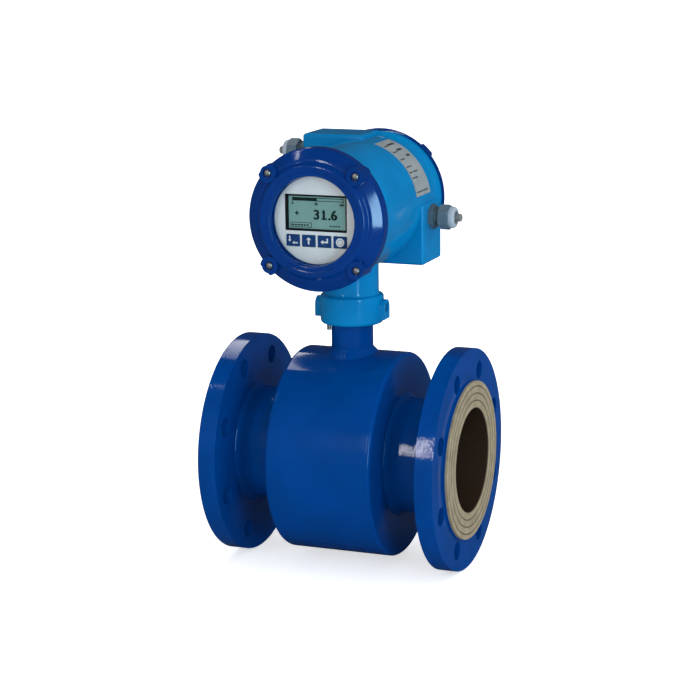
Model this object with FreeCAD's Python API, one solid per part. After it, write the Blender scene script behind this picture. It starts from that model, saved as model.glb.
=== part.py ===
"""Electromagnetic flow meter, compact type: a flanged, lined sensor with a round transmitter head.

Frame, in millimetres: the origin is the middle of the flow bore, +X runs along the pipe, -Y is the
display side and +Z goes up the neck to the head.  Every piece is one node, written to parts/NODE.step.
"""
import FreeCAD, Part
import math
import os

os.makedirs("parts", exist_ok=True)
V = FreeCAD.Vector

# ---------------------------------------------------------------- driving dimensions: sensor
face_to_face = 250.0          # liner face to liner face
bore_r = 51.0                 # clear bore of the liner
liner_wall = 3.05
liner_flare_t = 2.5           # the liner is turned out over the raised faces
liner_flare_margin = 0.8      # raised face left showing round the flare
liner_mouth = 1.5             # chamfer where the bore meets the flare
liner_groove_count = 3
liner_groove_first = 8.0      # from the bore to the first sealing groove
liner_groove_last = 5.2       # from the last sealing groove to the flare's edge
liner_groove_w = 1.2
liner_groove_d = 0.5
tube_wall = 3.0
flange_r = 110.0
flange_t = 20.0               # with its raised face
flange_edge = 1.2
bolt_hole_r = 9.0
bolt_count = 8
bolt_edge = 11.0              # metal left between a bolt hole and the rim
raised_face_margin = 2.0      # flat left between a bolt hole and the raised face
raised_face_t = 2.0
weld_leg = 5.0
housing_r = 101.6
housing_length = 108.8
housing_wall = 3.0
housing_edge = 3.0
housing_end_t = 5.0

pole_shoe_t = 4.0
pole_shoe_length = 64.0
pole_shoe_half_w = 33.0
pole_core_r = 11.0
bobbin_r = 30.0
bobbin_cheek_t = 1.5
bobbin_hub_t = 1.0
yoke_gap = 4.5                # between the yoke and the housing's inside
yoke_t = 4.0
yoke_width = 44.0
yoke_screw_r = 2.5
yoke_screw_head_r = 4.2
yoke_screw_head_t = 2.8
yoke_screw_length = 12.0

electrode_head_r = 5.0
electrode_head_t = 1.2
electrode_stem_r = 2.5
electrode_length = 24.0
bush_r = 5.5
bush_flange_r = 8.0
bush_flange_t = 2.0
electrode_nut_flats = 9.0
electrode_nut_t = 4.0

# ---------------------------------------------------------------- driving dimensions: neck
neck_tube_r = 20.7
neck_tube_wall = 3.5
neck_weld = 4.5
collar_bottom_z = 130.8
collar_height = 28.6
collar_r = 31.4
collar_foot = 3.5             # rounding under the collar
collar_shoulder = 3.0         # rounding above the collar
upper_neck_r = 26.6
neck_engagement = 24.0        # how far the neck tube goes up into the collar
lock_groove_w = 7.0
lock_groove_d = 1.4
neck_gasket_t = 1.7
neck_bore_r = 15.5
ear_reach = 36.5
ear_half_w = 8.0
ear_rise = 16.5               # from the collar's underside up to the lock screws
ear_drop = 11.5               # from the lock screws down to the ears' flat undersides
ear_round = 1.5
lock_screw_r = 3.0
lock_screw_length = 13.4
lock_socket_r = 4.8
lock_socket_depth = 4.5
collar_pin_r = 2.15
collar_pin_circle_r = 25.0
collar_pin_drop = 5.8
collar_pin_depth = 9.0
grommet_t = 6.0
lead_r = 3.0
lead_rise = 26.0              # how far the lead stands above the collar

# ---------------------------------------------------------------- driving dimensions: head
head_z = 245.6                # height of the head's own axis, which runs along Y
casing_r = 62.0
casing_wall = 5.0
casing_front_y = -90.0        # seat of the front cover
casing_back_y = 84.0          # seat of the rear cover
front_flange_t = 8.0
rear_flange_r = 64.8
rear_flange_t = 6.5
flare_length = 8.0
partition_y = 20.0
partition_t = 6.0
corner_half_w = 64.5          # the two squared corners of the wiring chamber
corner_rise = 65.6
corner_drop = 60.8
corner_front_left_y = 33.5
corner_front_right_y = 29.5
corner_wall = 4.0
corner_round = 3.0

cover_r = 68.3
cover_skirt_wall = 2.1
cover_skirt_length = 10.0
cover_skirt_gap = 0.4
cover_rim_length = 2.0
cover_step_y = -99.0
cover_step_outer_r = 58.2
cover_step_inner_r = 56.2
cover_face_y = -103.3
cover_face_r = 52.4
cover_lip_step_r = 47.4
cover_lip_step = 0.7
cover_opening_r = 42.7
cover_throat_r = 41.6         # the opening narrows towards the glass
cover_lip_t = 5.0
cover_bore_r = 54.0
cover_land_y = -102.5         # front of the lands for the cover screws
cover_screw_circle_r = 62.2
cover_boss_r = 9.0
cover_land_root = 1.0         # how far the lands reach in under the raised face's edge
cover_ear_r = 7.3
screw_pocket_r = 4.5
screw_pocket_depth = 1.7
cover_screw_r = 2.0
cover_screw_head_r = 3.3
cover_screw_head_t = 2.4
cover_screw_grip = 6.0
gasket_w = 2.8
gasket_t = 1.2
glass_r = 48.0
glass_t = 4.0
window_ring_t = 2.4
window_ring_w = 12.2

rear_cover_r = 67.2
rear_cover_rim = 3.2
rear_step_y = 92.0
rear_step_outer_r = 57.2
rear_step_inner_r = 55.2
rear_face_y = 95.5
rear_land_y = 94.3            # back of the lands for the cover screws
rear_face_r = 51.4
rear_cover_wall = 4.0
rear_screw_circle_r = 60.4
rear_screw_grip = 8.0
rear_screw_boss_r = 5.0

# ---------------------------------------------------------------- driving dimensions: display and boards
panel_r = 52.0
panel_y = -90.0               # face of the panel
panel_t = 1.5
display_w = 62.5
display_h = 35.6
display_frame = 2.0           # rim round the viewing field
display_sink = 0.6
display_x = -0.7
display_z = 6.2               # above the head's axis
key_w = 13.4
key_h = 11.8
key_pitch = 15.9
key_count = 4
key_z = -20.2                 # below the head's axis
key_proud = 0.5
key_lip = 0.8
key_lip_t = 0.8
key_travel = 0.5
key_switch_w = 6.0
board_r = 50.0
board_t = 1.6
display_board_gap = 6.6       # from the panel's back to the display board
main_board_gap = 34.0
stack_circle_r = 47.2
stack_spacer_r = 2.6
stack_screw_r = 1.5
stack_screw_head_r = 2.5
stack_screw_head_t = 1.6
stack_screw_bite = 6.0
board_chip_w = 15.6
board_chip_h = 13.0
board_chip_t = 3.0
board_chip_places = ((0.0, 18.0, 1), (-20.0, -14.0, 2), (20.0, -14.0, 3))   # across, up, height in steps
power_w = 56.0
power_h = 44.0
power_t = 20.0
terminal_board_r = 46.0
terminal_board_gap = 24.0
terminal_post_r = 3.0
terminal_post_circle_r = 40.0
terminal_strip_w = 50.0
terminal_strip_h = 12.0
terminal_strip_t = 13.0
terminal_strip_pitch = 30.0
terminal_ways = 8
terminal_hole_r = 2.0
terminal_hole_depth = 4.0

# ---------------------------------------------------------------- driving dimensions: glands and label
gland_right_y = 53.0
gland_right_z = -14.8         # below the head's axis
gland_left_y = 52.0
gland_left_z = 45.9
gland_thread_r = 9.3
gland_flats = 22.0
gland_flange_t = 5.2
gland_gap = 4.7               # thread left bare between flange and cap nut
gland_neck_r = 8.6
gland_nut_hex_t = 10.8
gland_dome_t = 5.6
gland_dome_r = 10.8
gland_mouth_r = 5.6
gland_mouth_wall = 2.6
gland_bore_r = 6.4
gland_overlap = 7.0           # thread inside the cap nut
gland_plug_r = 3.6
gland_plug_out = 5.6
gland_plug_collar = 3.0       # length of the plug's thicker end
gland_plug_in = 13.0
gland_locknut_flats = 24.0
gland_locknut_t = 4.0
gland_tail = 5.5
label_start_y = 18.0
label_length = 40.0
label_from_deg = 8.0
label_to_deg = 73.0
label_t = 0.3

# ---------------------------------------------------------------- clearances
bond_gap = 0.1                # between round faces that are welded, bonded or pressed together
slip_gap = 0.15               # round a screw or a thread in its hole
seat_gap = 0.3                # between pieces that only lie against each other
swivel_gap = 0.3              # between the head's collar and the neck tube

# ---------------------------------------------------------------- places worked out from the sizes
half_length = face_to_face / 2
tube_end_x = half_length - liner_flare_t
flange_outer_x = tube_end_x - raised_face_t
flange_inner_x = tube_end_x - flange_t
bolt_circle_r = flange_r - bolt_edge - bolt_hole_r
raised_face_r = bolt_circle_r - bolt_hole_r - raised_face_margin
liner_flare_r = raised_face_r - liner_flare_margin
liner_r = bore_r + liner_wall
tube_bore_r = liner_r + bond_gap
tube_r = tube_bore_r + tube_wall
housing_half = housing_length / 2
housing_bore_r = housing_r - housing_wall
yoke_r = housing_bore_r - yoke_gap
yoke_bore_r = yoke_r - yoke_t
collar_top_z = collar_bottom_z + collar_height
ear_z = collar_bottom_z + ear_rise
neck_top_z = collar_bottom_z + neck_engagement
neck_ledge_z = neck_top_z + neck_gasket_t + swivel_gap
collar_bore_r = neck_tube_r + swivel_gap
casing_bore_r = casing_r - casing_wall
skirt_bore_r = cover_r - cover_skirt_wall
front_flange_r = skirt_bore_r - cover_skirt_gap
cover_back_y = casing_front_y + cover_skirt_length
glass_front_y = cover_face_y + cover_lip_t
glass_back_y = glass_front_y + glass_t
panel_back_y = panel_y + panel_t
display_board_y = panel_back_y + display_board_gap
main_board_y = display_board_y + board_t + main_board_gap
corner_angles = (45.0, 135.0, 225.0, 315.0)


# ---------------------------------------------------------------- building helpers
def save(shape, node):
    shape.exportStep("parts/" + node + ".step")


def group(shapes):
    return Part.makeCompound(shapes)


def closed_wire(spots):
    """Closed wire through (point, is_arc_middle) pairs."""
    edges = []
    index = 0
    while index < len(spots):
        start = spots[index][0]
        following, is_middle = spots[(index + 1) % len(spots)]
        if is_middle:
            end = spots[(index + 2) % len(spots)][0]
            edges.append(Part.Arc(start, following, end).toShape())
            index += 2
        else:
            edges.append(Part.LineSegment(start, following).toShape())
            index += 1
    return Part.Wire(edges)


PLACES = {
    "X": lambda along, radius: V(along, 0, radius),
    "Y": lambda along, radius: V(radius, along, 0),
    "Z": lambda along, radius: V(radius, 0, along),
}
DIRECTIONS = {"X": V(1, 0, 0), "Y": V(0, 1, 0), "Z": V(0, 0, 1)}


def turned(profile, axis):
    """Solid of revolution from (along, radius) points; a third item marks the middle of an arc."""
    spots = [(PLACES[axis](item[0], item[1]), len(item) == 3) for item in profile]
    return Part.Face(closed_wire(spots)).revolve(V(0, 0, 0), DIRECTIONS[axis], 360)


def rod(radius, start, end, axis, centre=V(0, 0, 0)):
    """Cylinder from start to end along an axis through centre."""
    direction = DIRECTIONS[axis]
    return Part.makeCylinder(radius, end - start, centre + direction * start, direction)


def rod_out(radius, reach, axis, centre=V(0, 0, 0)):
    """Cylinder from the middle out to a signed reach along an axis."""
    return rod(radius, min(0, reach), max(0, reach), axis, centre)


def ring(outer, inner, start, end, axis, centre=V(0, 0, 0)):
    return rod(outer, start, end, axis, centre).cut(rod(inner, start, end, axis, centre))


def block(x0, x1, y0, y1, z0, z1):
    return Part.makeBox(x1 - x0, y1 - y0, z1 - z0, V(x0, y0, z0))


def hexagon(flats, start, end, axis, centre=V(0, 0, 0)):
    """Hexagonal prism with two of its flats facing up and down, or front and back on a Z axis."""
    corner = flats / math.sqrt(3)
    points = []
    for step in range(7):
        angle = math.radians(60 * step)
        across = corner * math.cos(angle)
        up = corner * math.sin(angle)
        if axis == "X":
            points.append(centre + V(start, across, up))
        elif axis == "Y":
            points.append(centre + V(across, start, up))
        else:
            points.append(centre + V(across, up, start))
    face = Part.Face(Part.makePolygon(points))
    return face.extrude(DIRECTIONS[axis] * (end - start))


def rounded(shape, radius, wanted):
    """Fillet every edge for which wanted(edge) is true."""
    edges = [edge for edge in shape.Edges if wanted(edge)]
    return shape.makeFillet(radius, edges)


def on_head(shape):
    """Move a piece drawn about the Y axis up to the head's axis."""
    moved = shape.copy()
    moved.translate(V(0, 0, head_z))
    return moved


def around(radius, angles):
    """Points on a circle about the Y axis, as vectors with y = 0."""
    places = []
    for angle in angles:
        turn = math.radians(angle)
        places.append(V(radius * math.cos(turn), 0, radius * math.sin(turn)))
    return places


def mirrored_x(shape):
    return shape.mirror(V(0, 0, 0), V(1, 0, 0))


# ---------------------------------------------------------------- sensor: tube, liner, flanges
def measuring_tube():
    """Stainless tube with its four fillet welds and the two electrode holes."""
    profile = [(-tube_end_x, tube_bore_r), (-tube_end_x, tube_r)]
    profile += [(-flange_inner_x, tube_r), (-flange_inner_x, tube_r + weld_leg)]
    profile += [(-flange_inner_x + weld_leg, tube_r)]
    profile += [(-housing_half - weld_leg, tube_r), (-housing_half, tube_r + weld_leg)]
    profile += [(-housing_half, tube_r)]
    profile += [(-along, radius) for along, radius in reversed(profile)]
    tube = turned(profile, "X")
    return tube.cut(rod(bush_r + slip_gap, -tube_r - weld_leg, tube_r + weld_leg, "Y"))


def liner():
    """Lining of the bore, turned out over both raised faces, with sealing grooves in each face."""
    first_r = bore_r + liner_groove_first
    groove_step = (liner_flare_r - liner_groove_last - first_r) / (liner_groove_count - 1)
    right = [(tube_end_x, liner_r), (tube_end_x, liner_flare_r), (half_length, liner_flare_r)]
    for index in reversed(range(liner_groove_count)):
        radius = first_r + groove_step * index
        right += [(half_length, radius + liner_groove_w / 2)]
        right += [(half_length - liner_groove_d, radius)]
        right += [(half_length, radius - liner_groove_w / 2)]
    right += [(half_length, bore_r + liner_mouth), (half_length - liner_mouth, bore_r)]
    left = [(-along, radius) for along, radius in reversed(right)]
    body = turned(right + left, "X")
    pocket_y = bore_r + electrode_head_t + bond_gap
    for side in (-1, 1):
        pocket = rod_out(electrode_head_r + slip_gap, side * pocket_y, "Y")
        hole = rod_out(electrode_stem_r + slip_gap, side * housing_r, "Y")
        body = body.cut(pocket).cut(hole)
    return body


def flange():
    """Right flange, drilled with its holes straddling the centre lines."""
    profile = [(flange_inner_x, tube_r + bond_gap), (flange_inner_x, flange_r - flange_edge)]
    profile += [(flange_inner_x + flange_edge, flange_r), (flange_outer_x - flange_edge, flange_r)]
    profile += [(flange_outer_x, flange_r - flange_edge), (flange_outer_x, raised_face_r)]
    profile += [(tube_end_x, raised_face_r), (tube_end_x, tube_r + bond_gap)]
    disc = turned(profile, "X")
    for index in range(bolt_count):
        turn = 2 * math.pi * (index + 0.5) / bolt_count
        place = V(0, bolt_circle_r * math.cos(turn), bolt_circle_r * math.sin(turn))
        disc = disc.cut(rod(bolt_hole_r, flange_inner_x, flange_outer_x, "X", place))
    return disc


# ---------------------------------------------------------------- sensor: welded coil housing
def housing_shell():
    """Rolled shell between the two ends, with the hole for the neck."""
    reach = housing_half - housing_end_t
    shell = ring(housing_r, housing_bore_r, -reach, reach, "X")
    return shell.cut(rod(neck_tube_r + bond_gap, 0, housing_r, "Z"))


def housing_end():
    """Right end plate with a rounded rim."""
    inner_x = housing_half - housing_end_t
    knee = housing_edge * (1 - math.sqrt(0.5))
    profile = [(inner_x, tube_r + bond_gap), (inner_x, housing_r)]
    profile += [(housing_half - housing_edge, housing_r), (housing_half - knee, housing_r - knee, "via")]
    profile += [(housing_half, housing_r - housing_edge), (housing_half, tube_r + bond_gap)]
    return turned(profile, "X")


# ---------------------------------------------------------------- sensor: magnet system and electrodes
shoe_bore_r = tube_r + seat_gap
shoe_r = shoe_bore_r + pole_shoe_t
bobbin_foot_z = shoe_r + seat_gap
bobbin_top_z = math.sqrt((yoke_bore_r - seat_gap) ** 2 - bobbin_r ** 2)


def pole_piece():
    """Curved pole shoe on the tube with its core reaching up to the yoke."""
    half = pole_shoe_length / 2
    shoe = ring(shoe_r, shoe_bore_r, -half, half, "X")
    sector = block(-half, half, -pole_shoe_half_w, pole_shoe_half_w, 0, shoe_r)
    core = rod(pole_core_r, shoe_r - pole_shoe_t / 2, yoke_r, "Z")
    core = core.common(rod(yoke_bore_r - bond_gap, -yoke_width, yoke_width, "X"))
    piece = shoe.common(sector).fuse(core).removeSplitter()
    tapped = rod(yoke_screw_r + slip_gap, yoke_r - yoke_screw_length - seat_gap, yoke_r, "Z")
    return piece.cut(tapped)


def coil_bobbin():
    hub_r = pole_core_r + slip_gap + bobbin_hub_t
    profile = [(bobbin_foot_z, pole_core_r + slip_gap), (bobbin_foot_z, bobbin_r)]
    profile += [(bobbin_foot_z + bobbin_cheek_t, bobbin_r), (bobbin_foot_z + bobbin_cheek_t, hub_r)]
    profile += [(bobbin_top_z - bobbin_cheek_t, hub_r), (bobbin_top_z - bobbin_cheek_t, bobbin_r)]
    profile += [(bobbin_top_z, bobbin_r), (bobbin_top_z, pole_core_r + slip_gap)]
    return turned(profile, "Z")


def coil():
    """Wound wire, a little lower than the bobbin's cheeks."""
    inner = pole_core_r + slip_gap + bobbin_hub_t + bond_gap
    low = bobbin_foot_z + bobbin_cheek_t
    high = bobbin_top_z - bobbin_cheek_t
    return ring(bobbin_r - bobbin_cheek_t, inner, low, high, "Z")


def return_yoke():
    """Steel band that closes the field round the outside of both coils."""
    band = ring(yoke_r, yoke_bore_r, -yoke_width / 2, yoke_width / 2, "X")
    return band.cut(rod(yoke_screw_r + slip_gap, -yoke_r, yoke_r, "Z"))


def yoke_screw():
    seat = yoke_r
    shank = rod(yoke_screw_r, seat - yoke_screw_length, seat, "Z")
    head = rod(yoke_screw_head_r, seat, seat + yoke_screw_head_t, "Z")
    socket = hexagon(yoke_screw_r * 1.4, seat + yoke_screw_head_t / 2, seat + yoke_screw_head_t, "Z")
    return shank.fuse(head).cut(socket)


bush_seat_y = tube_r + bond_gap
bush_foot_y = liner_r + bond_gap


def electrode():
    """Front electrode: flush head in the liner, stem out through the tube wall."""
    head = rod(electrode_head_r, -bore_r - electrode_head_t, -bore_r, "Y")
    stem = rod(electrode_stem_r, -bore_r - electrode_length, -bore_r - electrode_head_t / 2, "Y")
    return head.fuse(stem).removeSplitter()


def electrode_bush():
    """Insulating bush round the stem; its flange lies on the tube."""
    bush = rod(bush_r, -bush_seat_y - bush_flange_t, -bush_foot_y, "Y")
    flange_disc = rod(bush_flange_r, -bush_seat_y - bush_flange_t, -bush_seat_y, "Y")
    bore = rod(electrode_stem_r + slip_gap, -housing_r, 0, "Y")
    return bush.fuse(flange_disc).removeSplitter().cut(bore)


def electrode_nut():
    outer = -bush_seat_y - bush_flange_t
    nut = hexagon(electrode_nut_flats, outer - electrode_nut_t, outer, "Y")
    return nut.cut(rod(electrode_stem_r + slip_gap, -housing_r, 0, "Y"))


# ---------------------------------------------------------------- neck
def neck_tube():
    """Neck tube with its weld on the housing and the groove that the lock screws reach into."""
    inner = neck_tube_r - neck_tube_wall
    foot_z = housing_bore_r - housing_wall / 2
    floor_r = neck_tube_r - lock_groove_d
    low = ear_z - lock_groove_w / 2
    high = ear_z + lock_groove_w / 2
    profile = [(foot_z, inner), (foot_z, neck_tube_r), (low, neck_tube_r), (low, floor_r)]
    profile += [(high, floor_r), (high, neck_tube_r), (neck_top_z, neck_tube_r), (neck_top_z, inner)]
    tube = turned(profile, "Z")
    bead_low = math.sqrt(housing_r ** 2 - (neck_tube_r + neck_weld) ** 2) - neck_weld / 2
    bead = turned([(bead_low, neck_tube_r - neck_tube_wall / 2), (bead_low, neck_tube_r + neck_weld * 1.4),
                   (housing_r + neck_weld, neck_tube_r),
                   (housing_r + neck_weld, neck_tube_r - neck_tube_wall / 2)], "Z")
    bead = bead.cut(rod(housing_r, -housing_half, housing_half, "X"))
    return tube.fuse(bead).removeSplitter()


def neck_gasket():
    return ring(neck_tube_r, neck_tube_r - neck_tube_wall, neck_top_z, neck_top_z + neck_gasket_t, "Z")


def neck_grommet():
    outer = neck_tube_r - neck_tube_wall - bond_gap
    return ring(outer, lead_r + bond_gap, neck_top_z - grommet_t, neck_top_z, "Z")


def sensor_lead():
    start = yoke_r + yoke_screw_head_t + seat_gap
    return rod(lead_r, start, collar_top_z + lead_rise, "Z")


# ---------------------------------------------------------------- head: casing
def casing_barrel():
    """Round body with the cover seat in front and the flared flange behind."""
    flange_back = casing_front_y + front_flange_t
    flare_end = casing_back_y - rear_flange_t
    flare_start = flare_end - flare_length
    rise = rear_flange_r - casing_r
    profile = [(casing_front_y, 0), (casing_front_y, front_flange_r), (flange_back, front_flange_r)]
    profile += [(flange_back, casing_r), (flare_start, casing_r)]
    profile += [(flare_start + flare_length * 0.62, casing_r + rise * 0.33, "via")]
    profile += [(flare_end, rear_flange_r), (casing_back_y, rear_flange_r), (casing_back_y, 0)]
    return on_head(turned(profile, "Y"))


def corner_block(x_out, z_out, front_y, back_y):
    """Block from the head's axis out to a corner given by its signed X and its height."""
    return block(min(0, x_out), max(0, x_out), front_y, back_y, min(head_z, z_out), max(head_z, z_out))


def squared_corner(side, front_y, height):
    """Square corner of the wiring chamber: side is -1 or 1 in X, height is signed from the axis."""
    x_out = side * corner_half_w
    z_out = head_z + height
    solid = corner_block(x_out, z_out, front_y, casing_back_y)

    def outer_planes(edge):
        box = edge.BoundBox
        planes = [abs(box.XMin - x_out) + abs(box.XMax - x_out) < 0.01]
        planes.append(abs(box.ZMin - z_out) + abs(box.ZMax - z_out) < 0.01)
        planes.append(abs(box.YMin - front_y) + abs(box.YMax - front_y) < 0.01)
        planes.append(abs(box.YMin - casing_back_y) + abs(box.YMax - casing_back_y) < 0.01)
        return planes

    def outer_edge(edge):
        planes = outer_planes(edge)
        return sum(planes) == 2 and (planes[0] or planes[1])

    return rounded(solid, corner_round, outer_edge)


def corner_hollow(side, front_y, height):
    """Inside of a squared corner."""
    x_in = side * (corner_half_w - corner_wall)
    z_in = head_z + height - math.copysign(corner_wall, height)
    back_y = casing_back_y - corner_wall
    return corner_block(x_in, z_in, front_y + corner_wall, back_y)


def neck_casting():
    """Neck, collar and shoulder roundings as one turned shape about Z."""
    foot_knee = collar_foot * (1 - math.sqrt(0.5))
    shoulder = collar_shoulder
    top = collar_top_z
    root_r = upper_neck_r + 0.4 * (collar_r - upper_neck_r)
    profile = [(collar_bottom_z, 0), (collar_bottom_z, collar_r - collar_foot)]
    profile += [(collar_bottom_z + foot_knee, collar_r - foot_knee, "via")]
    profile += [(collar_bottom_z + collar_foot, collar_r), (top - shoulder, collar_r)]
    profile += [(top - shoulder * 0.3, collar_r - shoulder * 0.3, "via"), (top, root_r)]
    profile += [(top + shoulder * 0.3, upper_neck_r + 0.25, "via"), (top + shoulder, upper_neck_r)]
    inside_z = head_z - casing_bore_r + casing_wall
    profile += [(inside_z, upper_neck_r), (inside_z, 0)]
    return turned(profile, "Z")


def lock_ear(side):
    """Arched lug for a lock screw: round above, flat below."""
    face_x = side * ear_reach
    arch = rod_out(ear_half_w, face_x, "X", V(0, 0, ear_z))
    base = block(min(0, face_x), max(0, face_x), -ear_half_w, ear_half_w, ear_z - ear_drop, ear_z)
    lug = arch.fuse(base).removeSplitter()

    def on_face(edge):
        return abs(edge.BoundBox.XMin - face_x) + abs(edge.BoundBox.XMax - face_x) < 0.01

    return rounded(lug, ear_round, on_face)


def casing():
    """The head's casting: barrel, squared corners, neck and collar, hollowed from both ends."""
    outer = casing_barrel()
    outer = outer.fuse(squared_corner(-1, corner_front_left_y, corner_rise))
    outer = outer.fuse(squared_corner(1, corner_front_right_y, -corner_drop))
    outer = outer.fuse(neck_casting())
    for side in (-1, 1):
        outer = outer.fuse(lock_ear(side))
    outer = outer.removeSplitter()

    chamber_y = partition_y + partition_t
    hollow = on_head(rod(casing_bore_r, casing_front_y, partition_y, "Y"))
    wiring = on_head(rod(casing_bore_r, chamber_y, casing_back_y, "Y"))
    wiring = wiring.fuse(corner_hollow(-1, corner_front_left_y, corner_rise))
    wiring = wiring.fuse(corner_hollow(1, corner_front_right_y, -corner_drop))
    body = outer.cut(hollow).cut(wiring)

    bosses = []
    holes = []
    for place in around(rear_screw_circle_r, corner_angles):
        start = casing_back_y - rear_screw_grip - casing_wall
        bosses.append(on_head(rod(rear_screw_boss_r, start, casing_back_y, "Y", place)))
        hole_start = casing_back_y - rear_screw_grip - seat_gap
        holes.append(on_head(rod(cover_screw_r + slip_gap, hole_start, casing_back_y, "Y", place)))
    for place in around(cover_screw_circle_r, corner_angles):
        hole_end = casing_front_y + cover_screw_grip + seat_gap
        holes.append(on_head(rod(cover_screw_r + slip_gap, casing_front_y, hole_end, "Y", place)))
    for boss in bosses:
        body = body.fuse(boss.common(outer))
    body = body.removeSplitter()
    for hole in holes:
        body = body.cut(hole)

    rebate_r = casing_bore_r + gasket_w + slip_gap
    body = body.cut(on_head(rod(rebate_r, casing_front_y, casing_front_y + gasket_t, "Y")))
    body = body.cut(on_head(rod(casing_bore_r + gasket_w / 2 + slip_gap, casing_back_y - gasket_t,
                                casing_back_y, "Y")))
    body = body.cut(rod(collar_bore_r, collar_bottom_z, neck_ledge_z, "Z"))
    body = body.cut(rod(neck_bore_r, neck_ledge_z, head_z - casing_bore_r / 2, "Z"))
    for side in (-1, 1):
        reach = side * ear_reach
        inner = side * (ear_reach - lock_socket_depth)
        screw_hole = rod_out(lock_screw_r + slip_gap, reach, "X", V(0, 0, ear_z))
        socket = rod(lock_socket_r, min(inner, reach), max(inner, reach), "X", V(0, 0, ear_z))
        body = body.cut(screw_hole).cut(socket)
    body = body.cut(pin_shape(collar_pin_r + slip_gap, seat_gap))
    for side, along_y, above in gland_places():
        place = V(side * corner_half_w, along_y, head_z + above)
        body = body.cut(rod_out(gland_thread_r + slip_gap, -side * corner_half_w / 2, "X", place))
    return body


def gland_places():
    return ((1, gland_right_y, gland_right_z), (-1, gland_left_y, gland_left_z))


def pin_shape(radius, extra):
    turn = math.radians(225)
    place = V(collar_pin_circle_r * math.cos(turn), collar_pin_circle_r * math.sin(turn), 0)
    top = collar_bottom_z + collar_pin_depth + extra
    return rod(radius, collar_bottom_z - collar_pin_drop, top, "Z", place)


def lock_screw(side):
    """Grub screw whose flat tip stands in the neck tube's groove."""
    tip = neck_tube_r - lock_groove_d + swivel_gap
    end = tip + lock_screw_length
    solid = rod(lock_screw_r, tip, end, "X", V(0, 0, ear_z))
    socket = hexagon(lock_screw_r, end - lock_screw_r, end, "X", V(0, 0, ear_z))
    screw = solid.cut(socket)
    return screw if side > 0 else mirrored_x(screw)


# ---------------------------------------------------------------- head: front cover and window
def cover_boss(place, land_y, seat_y, rim_r, root_r):
    """Round land for a cover screw, with the bridge that joins it to the raised middle."""
    low = min(land_y, seat_y)
    high = max(land_y, seat_y)
    land = rod(cover_boss_r, low, high, "Y", place)
    bridge = block(root_r, place.Length, low, high, -cover_boss_r, cover_boss_r)
    turn = math.degrees(math.atan2(place.z, place.x))
    bridge.rotate(V(0, 0, 0), V(0, 1, 0), -turn)
    land = land.fuse(bridge).common(rod(rim_r, low, high, "Y"))
    return land.fuse(rod(cover_ear_r, low, high, "Y", place))


def front_cover():
    """Cast cover: skirt, sloping ring with four screw lands, raised face and window opening."""
    slope_y = casing_front_y - cover_rim_length
    profile = [(cover_back_y, skirt_bore_r), (cover_back_y, cover_r), (slope_y + 0.8, cover_r)]
    profile += [(slope_y, cover_r - 0.9)]
    profile += [(cover_step_y, cover_step_outer_r), (cover_step_y, cover_step_inner_r)]
    profile += [(cover_face_y + 0.6, cover_face_r + 0.5), (cover_face_y, cover_face_r - 0.3)]
    profile += [(cover_face_y, cover_lip_step_r + 0.5), (cover_face_y + cover_lip_step, cover_lip_step_r)]
    profile += [(cover_face_y + cover_lip_step, cover_opening_r + 0.6)]
    profile += [(cover_face_y + cover_lip_step + 0.6, cover_opening_r), (glass_front_y, cover_throat_r)]
    profile += [(glass_front_y, glass_r + slip_gap), (glass_back_y, glass_r + slip_gap)]
    profile += [(glass_back_y, cover_bore_r)]
    profile += [(casing_front_y, cover_bore_r), (casing_front_y, skirt_bore_r)]
    cover = turned(profile, "Y")
    inside = rod(skirt_bore_r, casing_front_y, cover_back_y, "Y")
    keep_out = rod(cover_bore_r, glass_back_y, cover_back_y, "Y").fuse(inside)
    root_r = cover_face_r - cover_land_root
    for place in around(cover_screw_circle_r, corner_angles):
        land = cover_boss(place, cover_land_y, casing_front_y, cover_r, root_r)
        ear = rod(cover_ear_r, casing_front_y, cover_back_y, "Y", place)
        cover = cover.fuse(land.fuse(ear).cut(keep_out))
    cover = cover.removeSplitter()
    for place in around(cover_screw_circle_r, corner_angles):
        pocket_end = cover_land_y + screw_pocket_depth
        cover = cover.cut(rod(screw_pocket_r, cover_land_y, pocket_end, "Y", place))
        cover = cover.cut(rod(cover_screw_r + slip_gap, pocket_end, casing_front_y, "Y", place))
    return on_head(cover)


def domed_screw(seat_y, tip_y, place):
    """Round-headed screw along Y with a cross recess; the head lies on the side away from the tip."""
    way = 1 if tip_y < seat_y else -1
    crown_y = seat_y + way * cover_screw_head_t
    edge_y = seat_y + way * cover_screw_head_t * 0.35
    shoulder_y = seat_y + way * cover_screw_head_t * 0.84
    profile = [(tip_y, 0), (tip_y, cover_screw_r), (seat_y, cover_screw_r), (seat_y, cover_screw_head_r)]
    profile += [(edge_y, cover_screw_head_r), (shoulder_y, cover_screw_head_r * 0.75)]
    profile += [(crown_y, cover_screw_head_r * 0.35), (crown_y, 0)]
    screw = turned(profile, "Y")
    floor_y = seat_y + way * cover_screw_head_t * 0.6
    arm = cover_screw_head_r * 0.5
    width = cover_screw_head_r * 0.1
    low = min(floor_y, crown_y)
    high = max(floor_y, crown_y)
    for half_x, half_z in ((arm, width), (width, arm)):
        screw = screw.cut(block(-half_x, half_x, low, high, -half_z, half_z))
    screw.translate(place)
    return on_head(screw)


def front_cover_screws():
    seat = cover_land_y + screw_pocket_depth
    tip = casing_front_y + cover_screw_grip
    return group([domed_screw(seat, tip, place) for place in around(cover_screw_circle_r, corner_angles)])


def front_gasket():
    back_y = casing_front_y + gasket_t
    return on_head(ring(casing_bore_r + gasket_w, casing_bore_r, casing_front_y, back_y, "Y"))


def window_glass():
    return on_head(rod(glass_r, glass_front_y, glass_back_y, "Y"))


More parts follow.
